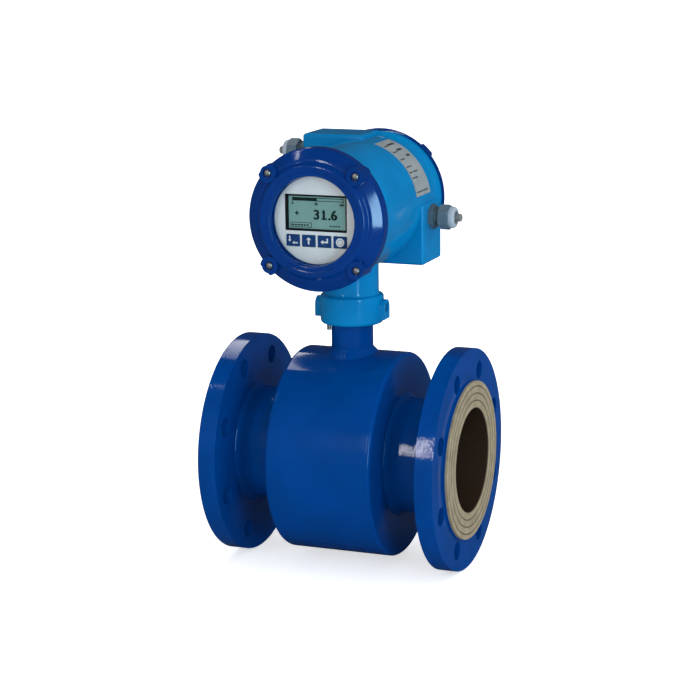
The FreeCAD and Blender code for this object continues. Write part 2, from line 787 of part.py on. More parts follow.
def window_ring():
    """Ring screwed in behind the glass, with two slots for its spanner."""
    outer = cover_bore_r - slip_gap
    hoop = ring(outer, outer - window_ring_w, glass_back_y, glass_back_y + window_ring_t, "Y")
    slot = block(-outer, outer, glass_back_y + window_ring_t / 2, glass_back_y + window_ring_t, -1.5, 1.5)
    return on_head(hoop.cut(slot))


# ---------------------------------------------------------------- head: rear cover
def rear_cover():
    """Blind cover of the wiring chamber, in the same style as the front one."""
    seat = casing_back_y
    rim_y = seat + rear_cover_rim
    spigot_r = casing_bore_r - gasket_w
    profile = [(seat, spigot_r), (seat, rear_cover_r), (rim_y, rear_cover_r)]
    profile += [(rim_y + 0.8, rear_cover_r - 0.9), (rear_step_y, rear_step_outer_r)]
    profile += [(rear_step_y, rear_step_inner_r), (rear_face_y, rear_face_r), (rear_face_y, 0)]
    profile += [(rear_face_y - rear_cover_wall, 0), (rear_face_y - rear_cover_wall, spigot_r)]
    cover = turned(profile, "Y")
    root_r = rear_face_r - cover_land_root
    for place in around(rear_screw_circle_r, corner_angles):
        cover = cover.fuse(cover_boss(place, rear_land_y, seat, rear_cover_r, root_r))
    cover = cover.removeSplitter()
    for place in around(rear_screw_circle_r, corner_angles):
        pocket_start = rear_land_y - screw_pocket_depth
        cover = cover.cut(rod(screw_pocket_r, pocket_start, rear_land_y, "Y", place))
        cover = cover.cut(rod(cover_screw_r + slip_gap, seat, pocket_start, "Y", place))
    return on_head(cover)


def rear_cover_screws():
    seat = rear_land_y - screw_pocket_depth
    tip = casing_back_y - rear_screw_grip
    return group([domed_screw(seat, tip, place) for place in around(rear_screw_circle_r, corner_angles)])


def rear_gasket():
    outer = casing_bore_r + gasket_w / 2
    return on_head(ring(outer, casing_bore_r - gasket_w / 2, casing_back_y - gasket_t, casing_back_y, "Y"))


# ---------------------------------------------------------------- head: display and boards
def stack_places():
    return around(stack_circle_r, corner_angles)


def key_x(index):
    return (index - (key_count - 1) / 2) * key_pitch


def display_panel():
    """Round front plate with the cut-outs for the display and the keys."""
    plate = rod(panel_r, panel_y, panel_back_y, "Y")
    half_w = display_w / 2 + slip_gap
    half_h = display_h / 2 + slip_gap
    plate = plate.cut(block(display_x - half_w, display_x + half_w, panel_y, panel_back_y,
                            display_z - half_h, display_z + half_h))
    for index in range(key_count):
        plate = plate.cut(key_block(index, seat_gap, panel_y, panel_back_y))
    for place in stack_places():
        plate = plate.cut(rod(stack_screw_r + slip_gap, panel_y, panel_back_y, "Y", place))
    return on_head(plate)


def lcd_module():
    """Display module standing on its board, with a sunk viewing field."""
    half_w = display_w / 2
    half_h = display_h / 2
    body = block(display_x - half_w, display_x + half_w, panel_y, display_board_y,
                 display_z - half_h, display_z + half_h)
    half_w = half_w - display_frame
    half_h = half_h - display_frame
    field = block(display_x - half_w, display_x + half_w, panel_y, panel_y + display_sink,
                  display_z - half_h, display_z + half_h)
    return on_head(body.cut(field))


def key_block(index, margin, front_y, back_y):
    """Block of a key's outline, grown by a margin all round."""
    middle = key_x(index)
    half_w = key_w / 2 + margin
    half_h = key_h / 2 + margin
    return block(middle - half_w, middle + half_w, front_y, back_y, key_z - half_h, key_z + half_h)


def key(index):
    """Key cap with a lip that rests against the panel's back."""
    cap = key_block(index, 0, panel_y - key_proud, panel_back_y)
    lip = key_block(index, key_lip, panel_back_y, panel_back_y + key_lip_t)
    return on_head(cap.fuse(lip).removeSplitter())


def board(radius, y, holes, hole_r):
    plate = rod(radius, y, y + board_t, "Y")
    for place in holes:
        plate = plate.cut(rod(hole_r, y, y + board_t, "Y", place))
    return plate


def display_board():
    """Board behind the panel with one switch under each key."""
    plate = board(board_r, display_board_y, stack_places(), stack_screw_r + slip_gap)
    switch_top = panel_back_y + key_lip_t + key_travel + bond_gap
    half = key_switch_w / 2
    for index in range(key_count):
        middle = key_x(index)
        plate = plate.fuse(block(middle - half, middle + half, switch_top, display_board_y,
                                 key_z - half, key_z + half))
    return on_head(plate.removeSplitter())


def main_board():
    """Processor board with its larger packages on the back."""
    plate = board(board_r, main_board_y, [], 0)
    chip_y = main_board_y + board_t
    half_w = board_chip_w / 2
    half_h = board_chip_h / 2
    for middle_x, middle_z, steps in board_chip_places:
        plate = plate.fuse(block(middle_x - half_w, middle_x + half_w, chip_y,
                                 chip_y + board_chip_t * steps, middle_z - half_h, middle_z + half_h))
    return on_head(plate.removeSplitter())


def panel_spacers():
    spacers = []
    for place in stack_places():
        spacers.append(on_head(ring(stack_spacer_r, stack_screw_r + slip_gap, panel_back_y,
                                    display_board_y, "Y", place)))
    return group(spacers)


def board_pillars():
    """Pillars between the two boards and from the main board to the partition."""
    pillars = []
    for place in stack_places():
        front = rod(stack_spacer_r, display_board_y + board_t, main_board_y, "Y", place)
        tapped_end = display_board_y + board_t + stack_screw_bite + seat_gap
        front = front.cut(rod(stack_screw_r + slip_gap, display_board_y + board_t, tapped_end, "Y", place))
        pillars.append(on_head(front))
        pillars.append(on_head(rod(stack_spacer_r, main_board_y + board_t, partition_y, "Y", place)))
    return group(pillars)


def stack_screws():
    screws = []
    for place in stack_places():
        shank = rod(stack_screw_r, panel_y, display_board_y + board_t + stack_screw_bite, "Y", place)
        head = rod(stack_screw_head_r, panel_y - stack_screw_head_t, panel_y, "Y", place)
        screws.append(on_head(shank.fuse(head).removeSplitter()))
    return group(screws)


chamber_front_y = partition_y + partition_t
terminal_board_y = chamber_front_y + terminal_board_gap


def power_module():
    """Potted power supply on the back of the partition."""
    half_w = power_w / 2
    half_h = power_h / 2
    body = block(-half_w, half_w, chamber_front_y, chamber_front_y + power_t, -half_h, half_h)
    return on_head(rounded(body, 2.0, lambda edge: edge.BoundBox.YLength > power_t - 0.01))


def terminal_posts():
    posts = []
    for place in around(terminal_post_circle_r, corner_angles):
        posts.append(on_head(rod(terminal_post_r, chamber_front_y, terminal_board_y, "Y", place)))
    return group(posts)


def terminal_board():
    return on_head(rod(terminal_board_r, terminal_board_y, terminal_board_y + board_t, "Y"))


def terminal_strip(middle_z):
    """Row of screw terminals with a hole over every screw."""
    front = terminal_board_y + board_t
    back = front + terminal_strip_t
    half_w = terminal_strip_w / 2
    half_h = terminal_strip_h / 2
    strip = block(-half_w, half_w, front, back, middle_z - half_h, middle_z + half_h)
    pitch = terminal_strip_w / terminal_ways
    for way in range(terminal_ways):
        place = V(-half_w + pitch * (way + 0.5), 0, middle_z)
        strip = strip.cut(rod(terminal_hole_r, back - terminal_hole_depth, back, "Y", place))
    return on_head(strip)


# ---------------------------------------------------------------- head: cable glands and label
def to_gland(shape, side, along_y, above):
    """Take a piece drawn along +X from the chamber's outer wall to its own gland."""
    moved = shape.copy()
    moved.translate(V(corner_half_w, along_y, head_z + above))
    return moved if side > 0 else mirrored_x(moved)


gland_nut_x = gland_flange_t + gland_gap
gland_dome_x = gland_nut_x + gland_nut_hex_t
gland_end_x = gland_dome_x + gland_dome_t
gland_neck_x = gland_nut_x + gland_overlap


def gland_body():
    """Hexagon flange with its thread through the wall and the neck that carries the cap nut."""
    flange_hex = hexagon(gland_flats, 0, gland_flange_t, "X")
    bevel = turned([(0, 0), (0, gland_flats / 2 + 0.6), (gland_flange_t * 0.2, gland_flats / 2 + 1.6),
                    (gland_flange_t * 0.8, gland_flats / 2 + 1.6), (gland_flange_t, gland_flats / 2 + 0.2),
                    (gland_flange_t, 0)], "X")
    tail = rod(gland_thread_r, -corner_wall - gland_tail, 0, "X")
    neck = rod(gland_neck_r, gland_flange_t, gland_neck_x, "X")
    body = flange_hex.common(bevel).fuse(tail).fuse(neck).removeSplitter()
    return body.cut(rod(gland_bore_r, -corner_wall - gland_tail, gland_neck_x, "X"))


def gland_nut():
    """Cap nut: hexagon with turned-off corners, then a round dome with an open mouth."""
    hex_part = hexagon(gland_flats, gland_nut_x, gland_dome_x, "X")
    bevel_r = gland_flats / 2 + 1.7
    bevel = turned([(gland_nut_x, 0), (gland_nut_x, bevel_r - 0.9), (gland_nut_x + 1.0, bevel_r),
                    (gland_dome_x - 1.4, bevel_r), (gland_dome_x, gland_dome_r), (gland_dome_x, 0)], "X")
    mouth_outer = gland_mouth_r + gland_mouth_wall
    dome = turned([(gland_dome_x, 0), (gland_dome_x, gland_dome_r),
                   (gland_dome_x + gland_dome_t * 0.45, gland_dome_r),
                   (gland_dome_x + gland_dome_t * 0.85, (gland_dome_r + mouth_outer) / 2 + 0.5, "via"),
                   (gland_end_x, mouth_outer), (gland_end_x, 0)], "X")
    nut = hex_part.common(bevel).fuse(dome).removeSplitter()
    nut = nut.cut(rod(gland_neck_r + slip_gap, gland_nut_x, gland_neck_x + seat_gap, "X"))
    return nut.cut(rod(gland_mouth_r, gland_nut_x, gland_end_x, "X"))


def gland_seal():
    """Rubber sleeve squeezed round the blanking plug."""
    return ring(gland_mouth_r - bond_gap, gland_plug_r + bond_gap, gland_neck_x - gland_plug_in / 2,
                gland_end_x - gland_mouth_wall, "X")


def gland_plug():
    """Blanking plug with a slightly thicker end."""
    end = gland_end_x + gland_plug_out
    start = end - gland_plug_in - gland_plug_out
    collar_r = gland_plug_r * 1.12
    collar_x = end - gland_plug_collar
    return turned([(start, 0), (start, gland_plug_r), (collar_x, gland_plug_r), (collar_x + 0.4, collar_r),
                   (end - 0.8, collar_r), (end, gland_plug_r * 0.8), (end, 0)], "X")


def gland_locknut():
    nut = hexagon(gland_locknut_flats, -corner_wall - gland_locknut_t, -corner_wall, "X")
    return nut.cut(rod(gland_thread_r + slip_gap, -corner_wall - gland_locknut_t, 0, "X"))


def rating_label():
    """Thin metal label curved round the barrel."""
    inner = casing_r + slip_gap
    band = ring(inner + label_t, inner, label_start_y, label_start_y + label_length, "Y")
    reach = 2 * casing_r
    edge_points = [V(0, label_start_y, 0)]
    for angle in (label_from_deg, (label_from_deg + label_to_deg) / 2, label_to_deg):
        turn = math.radians(angle)
        edge_points.append(V(reach * math.cos(turn), label_start_y, reach * math.sin(turn)))
    edge_points.append(edge_points[0])
    wedge = Part.Face(Part.makePolygon(edge_points)).extrude(V(0, label_length, 0))
    return on_head(band.common(wedge))


# ---------------------------------------------------------------- write every node
save(measuring_tube(), "measuring_tube")
save(liner(), "liner")
save(flange(), "flange_right")
save(mirrored_x(flange()), "flange_left")
save(housing_shell(), "housing_shell")
save(housing_end(), "housing_end_right")
save(mirrored_x(housing_end()), "housing_end_left")

for node, turn in (("upper", 0), ("lower", 180)):
    for name, maker in (("pole_piece", pole_piece), ("coil_bobbin", coil_bobbin), ("coil", coil)):
        piece = maker()
        piece.rotate(V(0, 0, 0), V(1, 0, 0), turn)
        save(piece, name + "_" + node)
save(return_yoke(), "return_yoke")

screw_pair = []
nut_pair = []
bush_pair = []
for turn in (0, 180):
    for made, maker in ((screw_pair, yoke_screw), (nut_pair, electrode_nut), (bush_pair, electrode_bush)):
        piece = maker()
        piece.rotate(V(0, 0, 0), V(1, 0, 0), turn)
        made.append(piece)
save(group(screw_pair), "yoke_screws")
save(group(nut_pair), "electrode_nuts")
save(group(bush_pair), "electrode_bushes")
for node, turn in (("electrode_front", 0), ("electrode_rear", 180)):
    piece = electrode()
    piece.rotate(V(0, 0, 0), V(0, 0, 1), turn)
    save(piece, node)

save(neck_tube(), "neck_tube")
save(neck_gasket(), "neck_gasket")
save(neck_grommet(), "neck_grommet")
save(sensor_lead(), "sensor_lead")

save(casing(), "casing")
save(group([lock_screw(1), lock_screw(-1)]), "collar_lock_screws")
save(pin_shape(collar_pin_r, 0), "collar_pin")
save(front_cover(), "front_cover")
save(window_glass(), "window_glass")
save(window_ring(), "window_ring")
save(front_gasket(), "front_gasket")
save(front_cover_screws(), "front_cover_screws")
save(rear_cover(), "rear_cover")
save(rear_gasket(), "rear_gasket")
save(rear_cover_screws(), "rear_cover_screws")

save(display_panel(), "display_panel")
save(lcd_module(), "lcd_module")
for index in range(key_count):
    save(key(index), "key_" + str(index + 1))
save(display_board(), "display_board")
save(main_board(), "main_board")
save(panel_spacers(), "panel_spacers")
save(board_pillars(), "board_pillars")
save(stack_screws(), "stack_screws")
save(power_module(), "power_module")
save(terminal_posts(), "terminal_posts")
save(terminal_board(), "terminal_board")
half_pitch = terminal_strip_pitch / 2
save(group([terminal_strip(half_pitch), terminal_strip(-half_pitch)]), "terminal_strips")

locknuts = []
for side, along_y, above in gland_places():
    name = "_right" if side > 0 else "_left"
    save(to_gland(gland_body(), side, along_y, above), "gland_body" + name)
    save(to_gland(gland_nut(), side, along_y, above), "gland_nut" + name)
    save(to_gland(gland_seal(), side, along_y, above), "gland_seal" + name)
    save(to_gland(gland_plug(), side, along_y, above), "gland_plug" + name)
    locknuts.append(to_gland(gland_locknut(), side, along_y, above))
save(group(locknuts), "gland_locknuts")
save(rating_label(), "rating_label")
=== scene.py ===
"""Looks of the electromagnetic flow meter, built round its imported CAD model, in metres.

Sizes in millimetres are multiplied by MM where they meet Blender.  The frame is the model's own: +X along
the pipe, -Y the display side, +Z up the neck.
"""
import math
from contextlib import contextmanager

import bpy
from mathutils import Matrix, Vector


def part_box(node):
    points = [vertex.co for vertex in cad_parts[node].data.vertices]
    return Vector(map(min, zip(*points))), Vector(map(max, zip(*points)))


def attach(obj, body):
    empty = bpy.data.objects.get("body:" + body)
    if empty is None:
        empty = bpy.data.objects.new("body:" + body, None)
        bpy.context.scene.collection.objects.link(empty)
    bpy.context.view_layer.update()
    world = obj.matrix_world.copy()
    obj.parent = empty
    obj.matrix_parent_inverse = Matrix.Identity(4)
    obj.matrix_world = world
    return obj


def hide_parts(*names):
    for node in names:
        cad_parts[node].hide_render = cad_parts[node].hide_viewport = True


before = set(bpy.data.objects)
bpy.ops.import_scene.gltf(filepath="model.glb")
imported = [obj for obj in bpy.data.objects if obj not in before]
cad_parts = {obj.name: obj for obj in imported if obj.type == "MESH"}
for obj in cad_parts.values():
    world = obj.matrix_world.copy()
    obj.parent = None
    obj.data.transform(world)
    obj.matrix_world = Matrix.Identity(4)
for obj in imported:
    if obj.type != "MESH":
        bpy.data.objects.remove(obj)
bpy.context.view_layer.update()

MM = 0.001
POLE_R = 0.0001               # radius that closes to a pole when doubles are merged


# ---- places read from the frame
def span(node):
    """Lowest and highest corner of a CAD node, in millimetres."""
    low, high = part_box(node)
    return Vector(low) / MM, Vector(high) / MM


flange_low, flange_high = span("flange_right")
flange_in_x, flange_out_x, flange_r = flange_low.x, flange_high.x, flange_high.z
half_length = span("liner")[1].x
liner_flare_r = span("liner")[1].z
housing_half = span("housing_end_right")[1].x
housing_r = span("housing_shell")[1].y
glass_low, glass_high = span("window_glass")
head_z = (glass_low.z + glass_high.z) / 2
HEAD = Vector((0, 0, head_z))
neck_top_z = span("neck_tube")[1].z
collar_z = span("casing")[0].z
seat_y = span("casing")[0].y
back_y = span("casing")[1].y
cover_face_y = span("front_cover")[0].y
cover_r = span("front_cover")[1].x
rear_r = span("rear_cover")[1].x
rear_face_y = span("rear_cover")[1].y
panel_low, panel_high = span("display_panel")
lcd_low, lcd_high = span("lcd_module")
label_low, label_high = span("rating_label")

# sizes that no box shows, in millimetres
PIPE_R = 57.15
PIPE_BORE_R = 54.15
FIT_GAP = 0.1                 # between pieces that are welded or pressed together
WELD_LEG = 5.0
LINER_R = 54.05
BORE_R = 51.0
RAISED_FACE_R = 79.0
RAISED_FACE_T = 2.0
BOLT_CIRCLE_R = 90.0
BOLT_HOLE_R = 9.0
BOLT_COUNT = 8
GROOVE_RADII = (59.0, 66.0, 73.0)
HOUSING_WALL = 3
HOUSING_END_T = 5
NECK_R = 20.7
NECK_BORE_R = 17.2
LEAD_BORE_R = 15.5
CASING_R = 62.0
CASING_BORE_R = 57.0
FRONT_FLANGE_R = 65.8
FRONT_FLANGE_T = 8
REAR_FLANGE_R = 64.8
REAR_FLANGE_T = 6.5
PARTITION_Y = (20, 26)        # between the electronics and the wiring chamber
CORNER_HALF_W = 64.5
CORNERS = {"left": (-1, 33.5, 65.6), "right": (1, 29.5, -60.8)}   # side, front y, height
CORNER_WALL = 4.0
LOCK_SCREW_Z = 147.3
LOCK_GROOVE_HALF_W = 3.5
LOCK_GROOVE_D = 1.4
LUG_REACH = 36.5
LUG_R = 8
LUG_DROP = 11.5               # from the lock screws down to the lugs' flat undersides
SCREW_CIRCLE_R = 62.2
REAR_SCREW_CIRCLE_R = 60.4
SCREW_ANGLES = (45, 135, 225, 315)
FRONT_LAND_Y = -102.5
FRONT_SCREW_SEAT = -100.8
REAR_LAND_Y = 93.3
REAR_SCREW_SEAT = 92.6
GLANDS = {"right": (1, 53.0, -14.8), "left": (-1, 52.0, 45.9)}


# ---- modelling by hand, in code
def pick(*pieces):
    """Select only these pieces; the first is the active one."""
    bpy.ops.object.select_all(action="DESELECT")
    for piece in pieces:
        piece.select_set(True)
    bpy.context.view_layer.objects.active = pieces[0]


def settle(piece):
    """Put a piece's place, turn and scale into its mesh."""
    pick(piece)
    bpy.ops.object.transform_apply(location=True, rotation=True, scale=True)
    return piece


def named(name):
    """Name the active piece and its data."""
    piece = bpy.context.object
    piece.name = name
    piece.data.name = name
    return piece


def started(name, operator, **settings):
    """Begin a piece with an operator that adds one."""
    bpy.ops.object.select_all(action="DESELECT")
    operator(**settings)
    return named(name)


@contextmanager
def editing(piece):
    """Edit mode on one piece, with its whole mesh selected."""
    pick(piece)
    bpy.ops.object.mode_set(mode="EDIT")
    bpy.ops.mesh.select_all(action="SELECT")
    yield
    bpy.ops.object.mode_set(mode="OBJECT")


def close_mesh(distance):
    """Merge what lies within a distance in millimetres, then face every normal outwards."""
    bpy.ops.mesh.select_all(action="SELECT")
    bpy.ops.mesh.remove_doubles(threshold=distance * MM)
    bpy.ops.mesh.normals_make_consistent(inside=False)


AXIS_TURN = {"X": (0, math.pi / 2, 0), "Y": (-math.pi / 2, 0, 0), "Z": (0, 0, 0)}


def turned(name, axis, profile, centre=(0, 0, 0), steps=160):
    """Turn (along, radius) pairs into a closed shell: one ring, extruded and resized from pair to pair."""
    along, radius = profile[0]
    radius = max(radius, POLE_R)
    piece = settle(started(name, bpy.ops.mesh.primitive_circle_add, vertices=steps, radius=radius * MM,
                           location=(0, 0, along * MM)))
    with editing(piece):
        for next_along, next_radius in profile[1:]:
            next_radius = max(next_radius, POLE_R)
            shift = (0, 0, (next_along - along) * MM)
            bpy.ops.mesh.extrude_region_move(TRANSFORM_OT_translate={"value": shift})
            ratio = next_radius / radius
            bpy.ops.transform.resize(value=(ratio, ratio, 1), center_override=(0, 0, 0))
            along, radius = next_along, next_radius
        close_mesh(0.0015)
    piece.rotation_euler = AXIS_TURN[axis]
    piece.location = Vector(centre) * MM
    return settle(piece)


def rod(name, axis, radius, start, end, centre=(0, 0, 0), steps=64):
    return turned(name, axis, [(start, 0), (start, radius), (end, radius), (end, 0)], centre, steps)


def block(name, low, high):
    """Cube between two corners."""
    low, high = Vector(low), Vector(high)
    piece = started(name, bpy.ops.mesh.primitive_cube_add, size=1, location=(low + high) / 2 * MM)
    piece.scale = (high - low) * MM
    return settle(piece)


def finish_modifier(piece, kind, **settings):
    pick(piece)
    modifier = piece.modifiers.new(kind.lower(), kind)
    for name, value in settings.items():
        setattr(modifier, name, value)
    bpy.ops.object.modifier_apply(modifier=modifier.name)
    return piece


def combine(piece, operation, tools):
    """Boolean with each tool in turn; the tools are used up."""
    for tool in tools:
        finish_modifier(piece, "BOOLEAN", operation=operation, object=tool, solver="MANIFOLD")
        bpy.data.objects.remove(tool)
    return piece


def add_to(piece, *tools):
    return combine(piece, "UNION", tools)


def cut_from(piece, *tools):
    return combine(piece, "DIFFERENCE", tools)


def keep_within(piece, *tools):
    return combine(piece, "INTERSECT", tools)


def tidy_mesh(piece, distance=0.01):
    """Merge and dissolve what is smaller than a distance in millimetres."""
    with editing(piece):
        bpy.ops.mesh.remove_doubles(threshold=distance * MM)
        bpy.ops.mesh.dissolve_degenerate(threshold=distance * MM)
        bpy.ops.mesh.normals_make_consistent(inside=False)
    return piece


def bevelled(piece, width, segments, **settings):
    return finish_modifier(piece, "BEVEL", width=width * MM, segments=segments, **settings)


def soften(piece, width, segments=3, angle=32):
    """Round the edges sharper than an angle, then shade so that flat faces stay flat."""
    tidy_mesh(piece)
    bevelled(piece, width, segments, limit_method="ANGLE", angle_limit=math.radians(angle),
             miter_outer="MITER_ARC", use_clamp_overlap=True)
    return shade(piece)


def shade(piece, angle=50):
    pick(piece)
    bpy.ops.object.shade_smooth_by_angle(angle=math.radians(angle))
    finish_modifier(piece, "WEIGHTED_NORMAL", keep_sharp=True, weight=60)
    return piece


def joined(name, pieces):
    pick(*pieces)
    bpy.ops.object.join()
    return named(name)


def rounded(profile, reach, steps=5):
    """Profile with each of its inner corners drawn round, starting within this reach of the corner."""
    drawn = [profile[0]]
    for before, corner, after in zip(profile, profile[1:], profile[2:]):
        corner = Vector(corner)
        start, end = (corner + (Vector(other) - corner).normalized()
                      * min(reach, 0.45 * (Vector(other) - corner).length) for other in (before, after))
        for index in range(steps + 1):
            way = index / steps
            drawn.append(tuple(start * (1 - way) ** 2 + corner * 2 * way * (1 - way) + end * way ** 2))
    return drawn + [profile[-1]]


def on_circle(radius, degrees):
    """Point on a circle about the head's axis, in millimetres."""
    turn = math.radians(degrees)
    return HEAD + Vector((radius * math.cos(turn), 0, radius * math.sin(turn)))


def arc(along, radius, r, start, end, steps):
    """Rounded edge for a profile: points of a quarter circle round (along, radius), turns in degrees."""
    spots = []
    for index in range(steps + 1):
        turn = math.radians(start + (end - start) * index / steps)
        spots.append((along + r * math.cos(turn), radius + r * math.sin(turn)))
    return spots


def fitted(piece, material, body, slot, *nodes):
    """Give a finished piece its material and its body, and hide the CAD nodes that it stands for; slot is not
    used.
    """
    piece.data.materials.clear()
    piece.data.materials.append(material)
    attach(piece, body)
    if nodes:
        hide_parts(*nodes)
    return piece


# ---- materials
def colour(hex_text):
    """sRGB hex to linear RGBA."""
    values = []
    for index in (0, 2, 4):
        part = int(hex_text[index:index + 2], 16) / 255
        values.append(part / 12.92 if part <= 0.04045 else ((part + 0.055) / 1.055) ** 2.4)
    return (*values, 1)


def plug(node, inputs):
    """Fill a node's inputs: a socket is linked, any other value is set."""
    for name, value in inputs.items():
        if isinstance(value, bpy.types.NodeSocket):
            node.id_data.links.new(value, node.inputs[name])
        else:
            node.inputs[name].default_value = value


def add(tree, kind, inputs=None, **settings):
    """Add a node with its settings and its inputs."""
    made = tree.nodes.new(kind)
    for name, value in settings.items():
        setattr(made, name, value)
    plug(made, inputs or {})
    return made


def maths(tree, operation, *values):
    return add(tree, "ShaderNodeMath", dict(enumerate(values)), operation=operation).outputs[0]


def new_material(name):
    material = bpy.data.materials.new(name)
    material.use_nodes = True
    tree = material.node_tree
    tree.nodes.clear()
    shader = add(tree, "ShaderNodeBsdfPrincipled")
    add(tree, "ShaderNodeOutputMaterial", {0: shader.outputs[0]})
    place = add(tree, "ShaderNodeTexCoord").outputs["Object"]
    return material, tree, shader, place


def clouds(tree, place, size_mm, detail=2.0):
    """Noise whose feature is this many millimetres."""
    scale = 1 / (size_mm * MM)
    return add(tree, "ShaderNodeTexNoise", {"Vector": place, "Scale": scale, "Detail": detail}).outputs["Fac"]


def blended(tree, factor, first, second):
    """Mix of two colours by a factor socket."""
    return add(tree, "ShaderNodeMix", {"Factor": factor, 6: first, 7: second}, data_type="RGBA").outputs[2]


def ranged(tree, value, low, high, to_low=0.0, to_high=1.0):
    return add(tree, "ShaderNodeMapRange", {"Value": value, "From Min": low, "From Max": high,
                                            "To Min": to_low, "To Max": to_high}).outputs["Result"]


def tinted(tree, place, base_hex, deep_hex, size_mm, detail=3.0):
    """Colour that wanders slowly between a base and a deeper tone."""
    wander = ranged(tree, clouds(tree, place, size_mm, detail), 0.35, 0.65)
    return blended(tree, wander, colour(base_hex), colour(deep_hex))


def bumped(tree, shader, height, depth_mm, below=None):
    """Bump the shader's normal, over another bump where one is given."""
    inputs = {"Height": height, "Distance": depth_mm * MM, "Strength": 1.0}
    if below is not None:
        inputs["Normal"] = below
    normal = add(tree, "ShaderNodeBump", inputs).outputs["Normal"]
    plug(shader, {"Normal": normal})
    return normal


def enamel(name, base_hex, deep_hex, peel_mm, peel_depth, rough, level=0.28):
    """Two-pack polyurethane enamel sprayed on metal: deep even colour, a wet gloss and soft orange peel."""
    material, tree, shader, place = new_material(name)
    peel = clouds(tree, place, peel_mm, 1.5)
    runs = clouds(tree, place, peel_mm * 6)
    first = bumped(tree, shader, runs, peel_depth * 2.0)
    bumped(tree, shader, peel, peel_depth, below=first)
    plug(shader, {"Base Color": tinted(tree, place, base_hex, deep_hex, 45),
                  "Roughness": ranged(tree, runs, 0.3, 0.7, rough * 0.8, rough * 1.25),
                  "IOR": 1.5, "Specular IOR Level": level})
    return material


def plain_finish(name, base_hex, deep_hex, metallic, rough, grain_mm, grain_depth, tone_mm=8, level=0.5):
    """Finish with a slow change of tone and a fine grain; its caller says what it is."""
    material, tree, shader, place = new_material(name)
    grain = clouds(tree, place, grain_mm)
    bumped(tree, shader, grain, grain_depth)
    plug(shader, {"Base Color": tinted(tree, place, base_hex, deep_hex, tone_mm),
                  "Roughness": ranged(tree, grain, 0.3, 0.7, rough * 0.85, rough * 1.15),
                  "Metallic": metallic, "Specular IOR Level": level})
    return material


def hard_rubber():
    """Moulded hard rubber, faced in the lathe: dry tan faces with fine rings; smooth in the bore and drawn
    very dark there, partly its own unfaced tone and partly painted shade.
    """
    material, tree, shader, place = new_material("hard_rubber_faced")
    axes = add(tree, "ShaderNodeSeparateXYZ", {"Vector": place}).outputs
    flat = add(tree, "ShaderNodeCombineXYZ", {"Y": axes["Y"], "Z": axes["Z"]}).outputs[0]
    radius = add(tree, "ShaderNodeVectorMath", {0: flat}, operation="LENGTH").outputs["Value"]
    face = tinted(tree, place, "a6967a", "918369", 14, 6.0)
    # lathe marks finer than this would not show, so they are drawn 1.1 mm apart
    rings = maths(tree, "SINE", maths(tree, "MULTIPLY", radius, 2 * math.pi / (1.1 * MM)))
    ringed = blended(tree, ranged(tree, rings, -1, 1, 0.0, 0.14), face, colour("7d7058"))
    # painted shade: each sealing groove's ring is drawn darker, where shade falls in the cut
    for groove_r in GROOVE_RADII:
        groove_shade = maths(tree, "COMPARE", radius, groove_r * MM, 0.7 * MM)
        ringed = blended(tree, ranged(tree, groove_shade, 0, 1, 0.0, 0.7), ringed, colour("4f4532"))
    specks = clouds(tree, place, 2.2, 4.0)
    marked = blended(tree, ranged(tree, specks, 0.62, 0.8, 0.0, 0.55), ringed, colour("6a604c"))
    # painted shade: the bore is drawn very dark brown, partly the rubber's own unfaced tone and partly the
    # shade inside the pipe
    inside = ranged(tree, radius, (BORE_R + 1.6) * MM, (BORE_R + 0.4) * MM)
    bumped(tree, shader, rings, 0.03)
    plug(shader, {"Base Color": blended(tree, inside, marked, colour("33200f")),
                  "Roughness": ranged(tree, specks, 0.3, 0.7, 0.6, 0.8), "Specular IOR Level": 0.3})
    return material


def turned_steel(name, base_hex, deep_hex, rough):
    """Stainless steel turned on a lathe: a bright warm grey with a fine cloud in its tone and gloss."""
    material, tree, shader, place = new_material(name)
    cloud = clouds(tree, place, 1.2, 4.0)
    bumped(tree, shader, cloud, 0.02)
    tone = blended(tree, ranged(tree, cloud, 0.3, 0.7), colour(base_hex), colour(deep_hex))
    gloss = ranged(tree, cloud, 0.3, 0.7, rough * 0.8, rough * 1.3)
    plug(shader, {"Base Color": tone, "Roughness": gloss, "Metallic": 1.0})
    return material


def window_pane():
    """Toughened float glass: clear, with a faint haze of handling and a hard gloss."""
    material, tree, shader, place = new_material("toughened_glass")
    haze = ranged(tree, clouds(tree, place, 25, 3.0), 0.3, 0.7, 0.03, 0.08)
    plug(shader, {"Roughness": haze, "Base Color": colour("1c2426"), "Alpha": 0.07, "IOR": 1.5})
    return material


navy = enamel("polyurethane_enamel_navy", "00408a", "003b7e", 2.4, 0.085, 0.1)
drum_navy = enamel("polyurethane_enamel_drum", "003f88", "003b7e", 5.0, 0.008, 0.06)
cover_navy = enamel("polyurethane_enamel_cover", "003278", "002e6f", 2.6, 0.02, 0.11, 0.5)
sky = enamel("polyurethane_enamel_sky", "007eba", "0076ae", 2.8, 0.02, 0.12, 0.4)
rubber = hard_rubber()
stainless = turned_steel("stainless_steel_turned", "e2dcd6", "c4bcb4", 0.42)
pane = window_pane()
# polyamide, moulded with a fine spark texture: soft grey, half matt
# the flange's grey is drawn darker than the cap's, partly as painted shade
gland_grey_with_shade = plain_finish("polyamide_gland_moulded_with_shade", "4e6571", "455a64", 0, 0.42, 0.7, 0.02)
gland_mid = plain_finish("polyamide_gland_cap", "5f7482", "546874", 0, 0.42, 0.7, 0.02)
gland_pale = plain_finish("polyamide_gland_dome", "a9b5bf", "9ba7b1", 0, 0.4, 0.7, 0.02)
# polyethylene plug, moulded: milky and waxy
plug_white = plain_finish("polyethylene_plug", "7f8280", "767977", 0, 0.5, 1.5, 0.03)
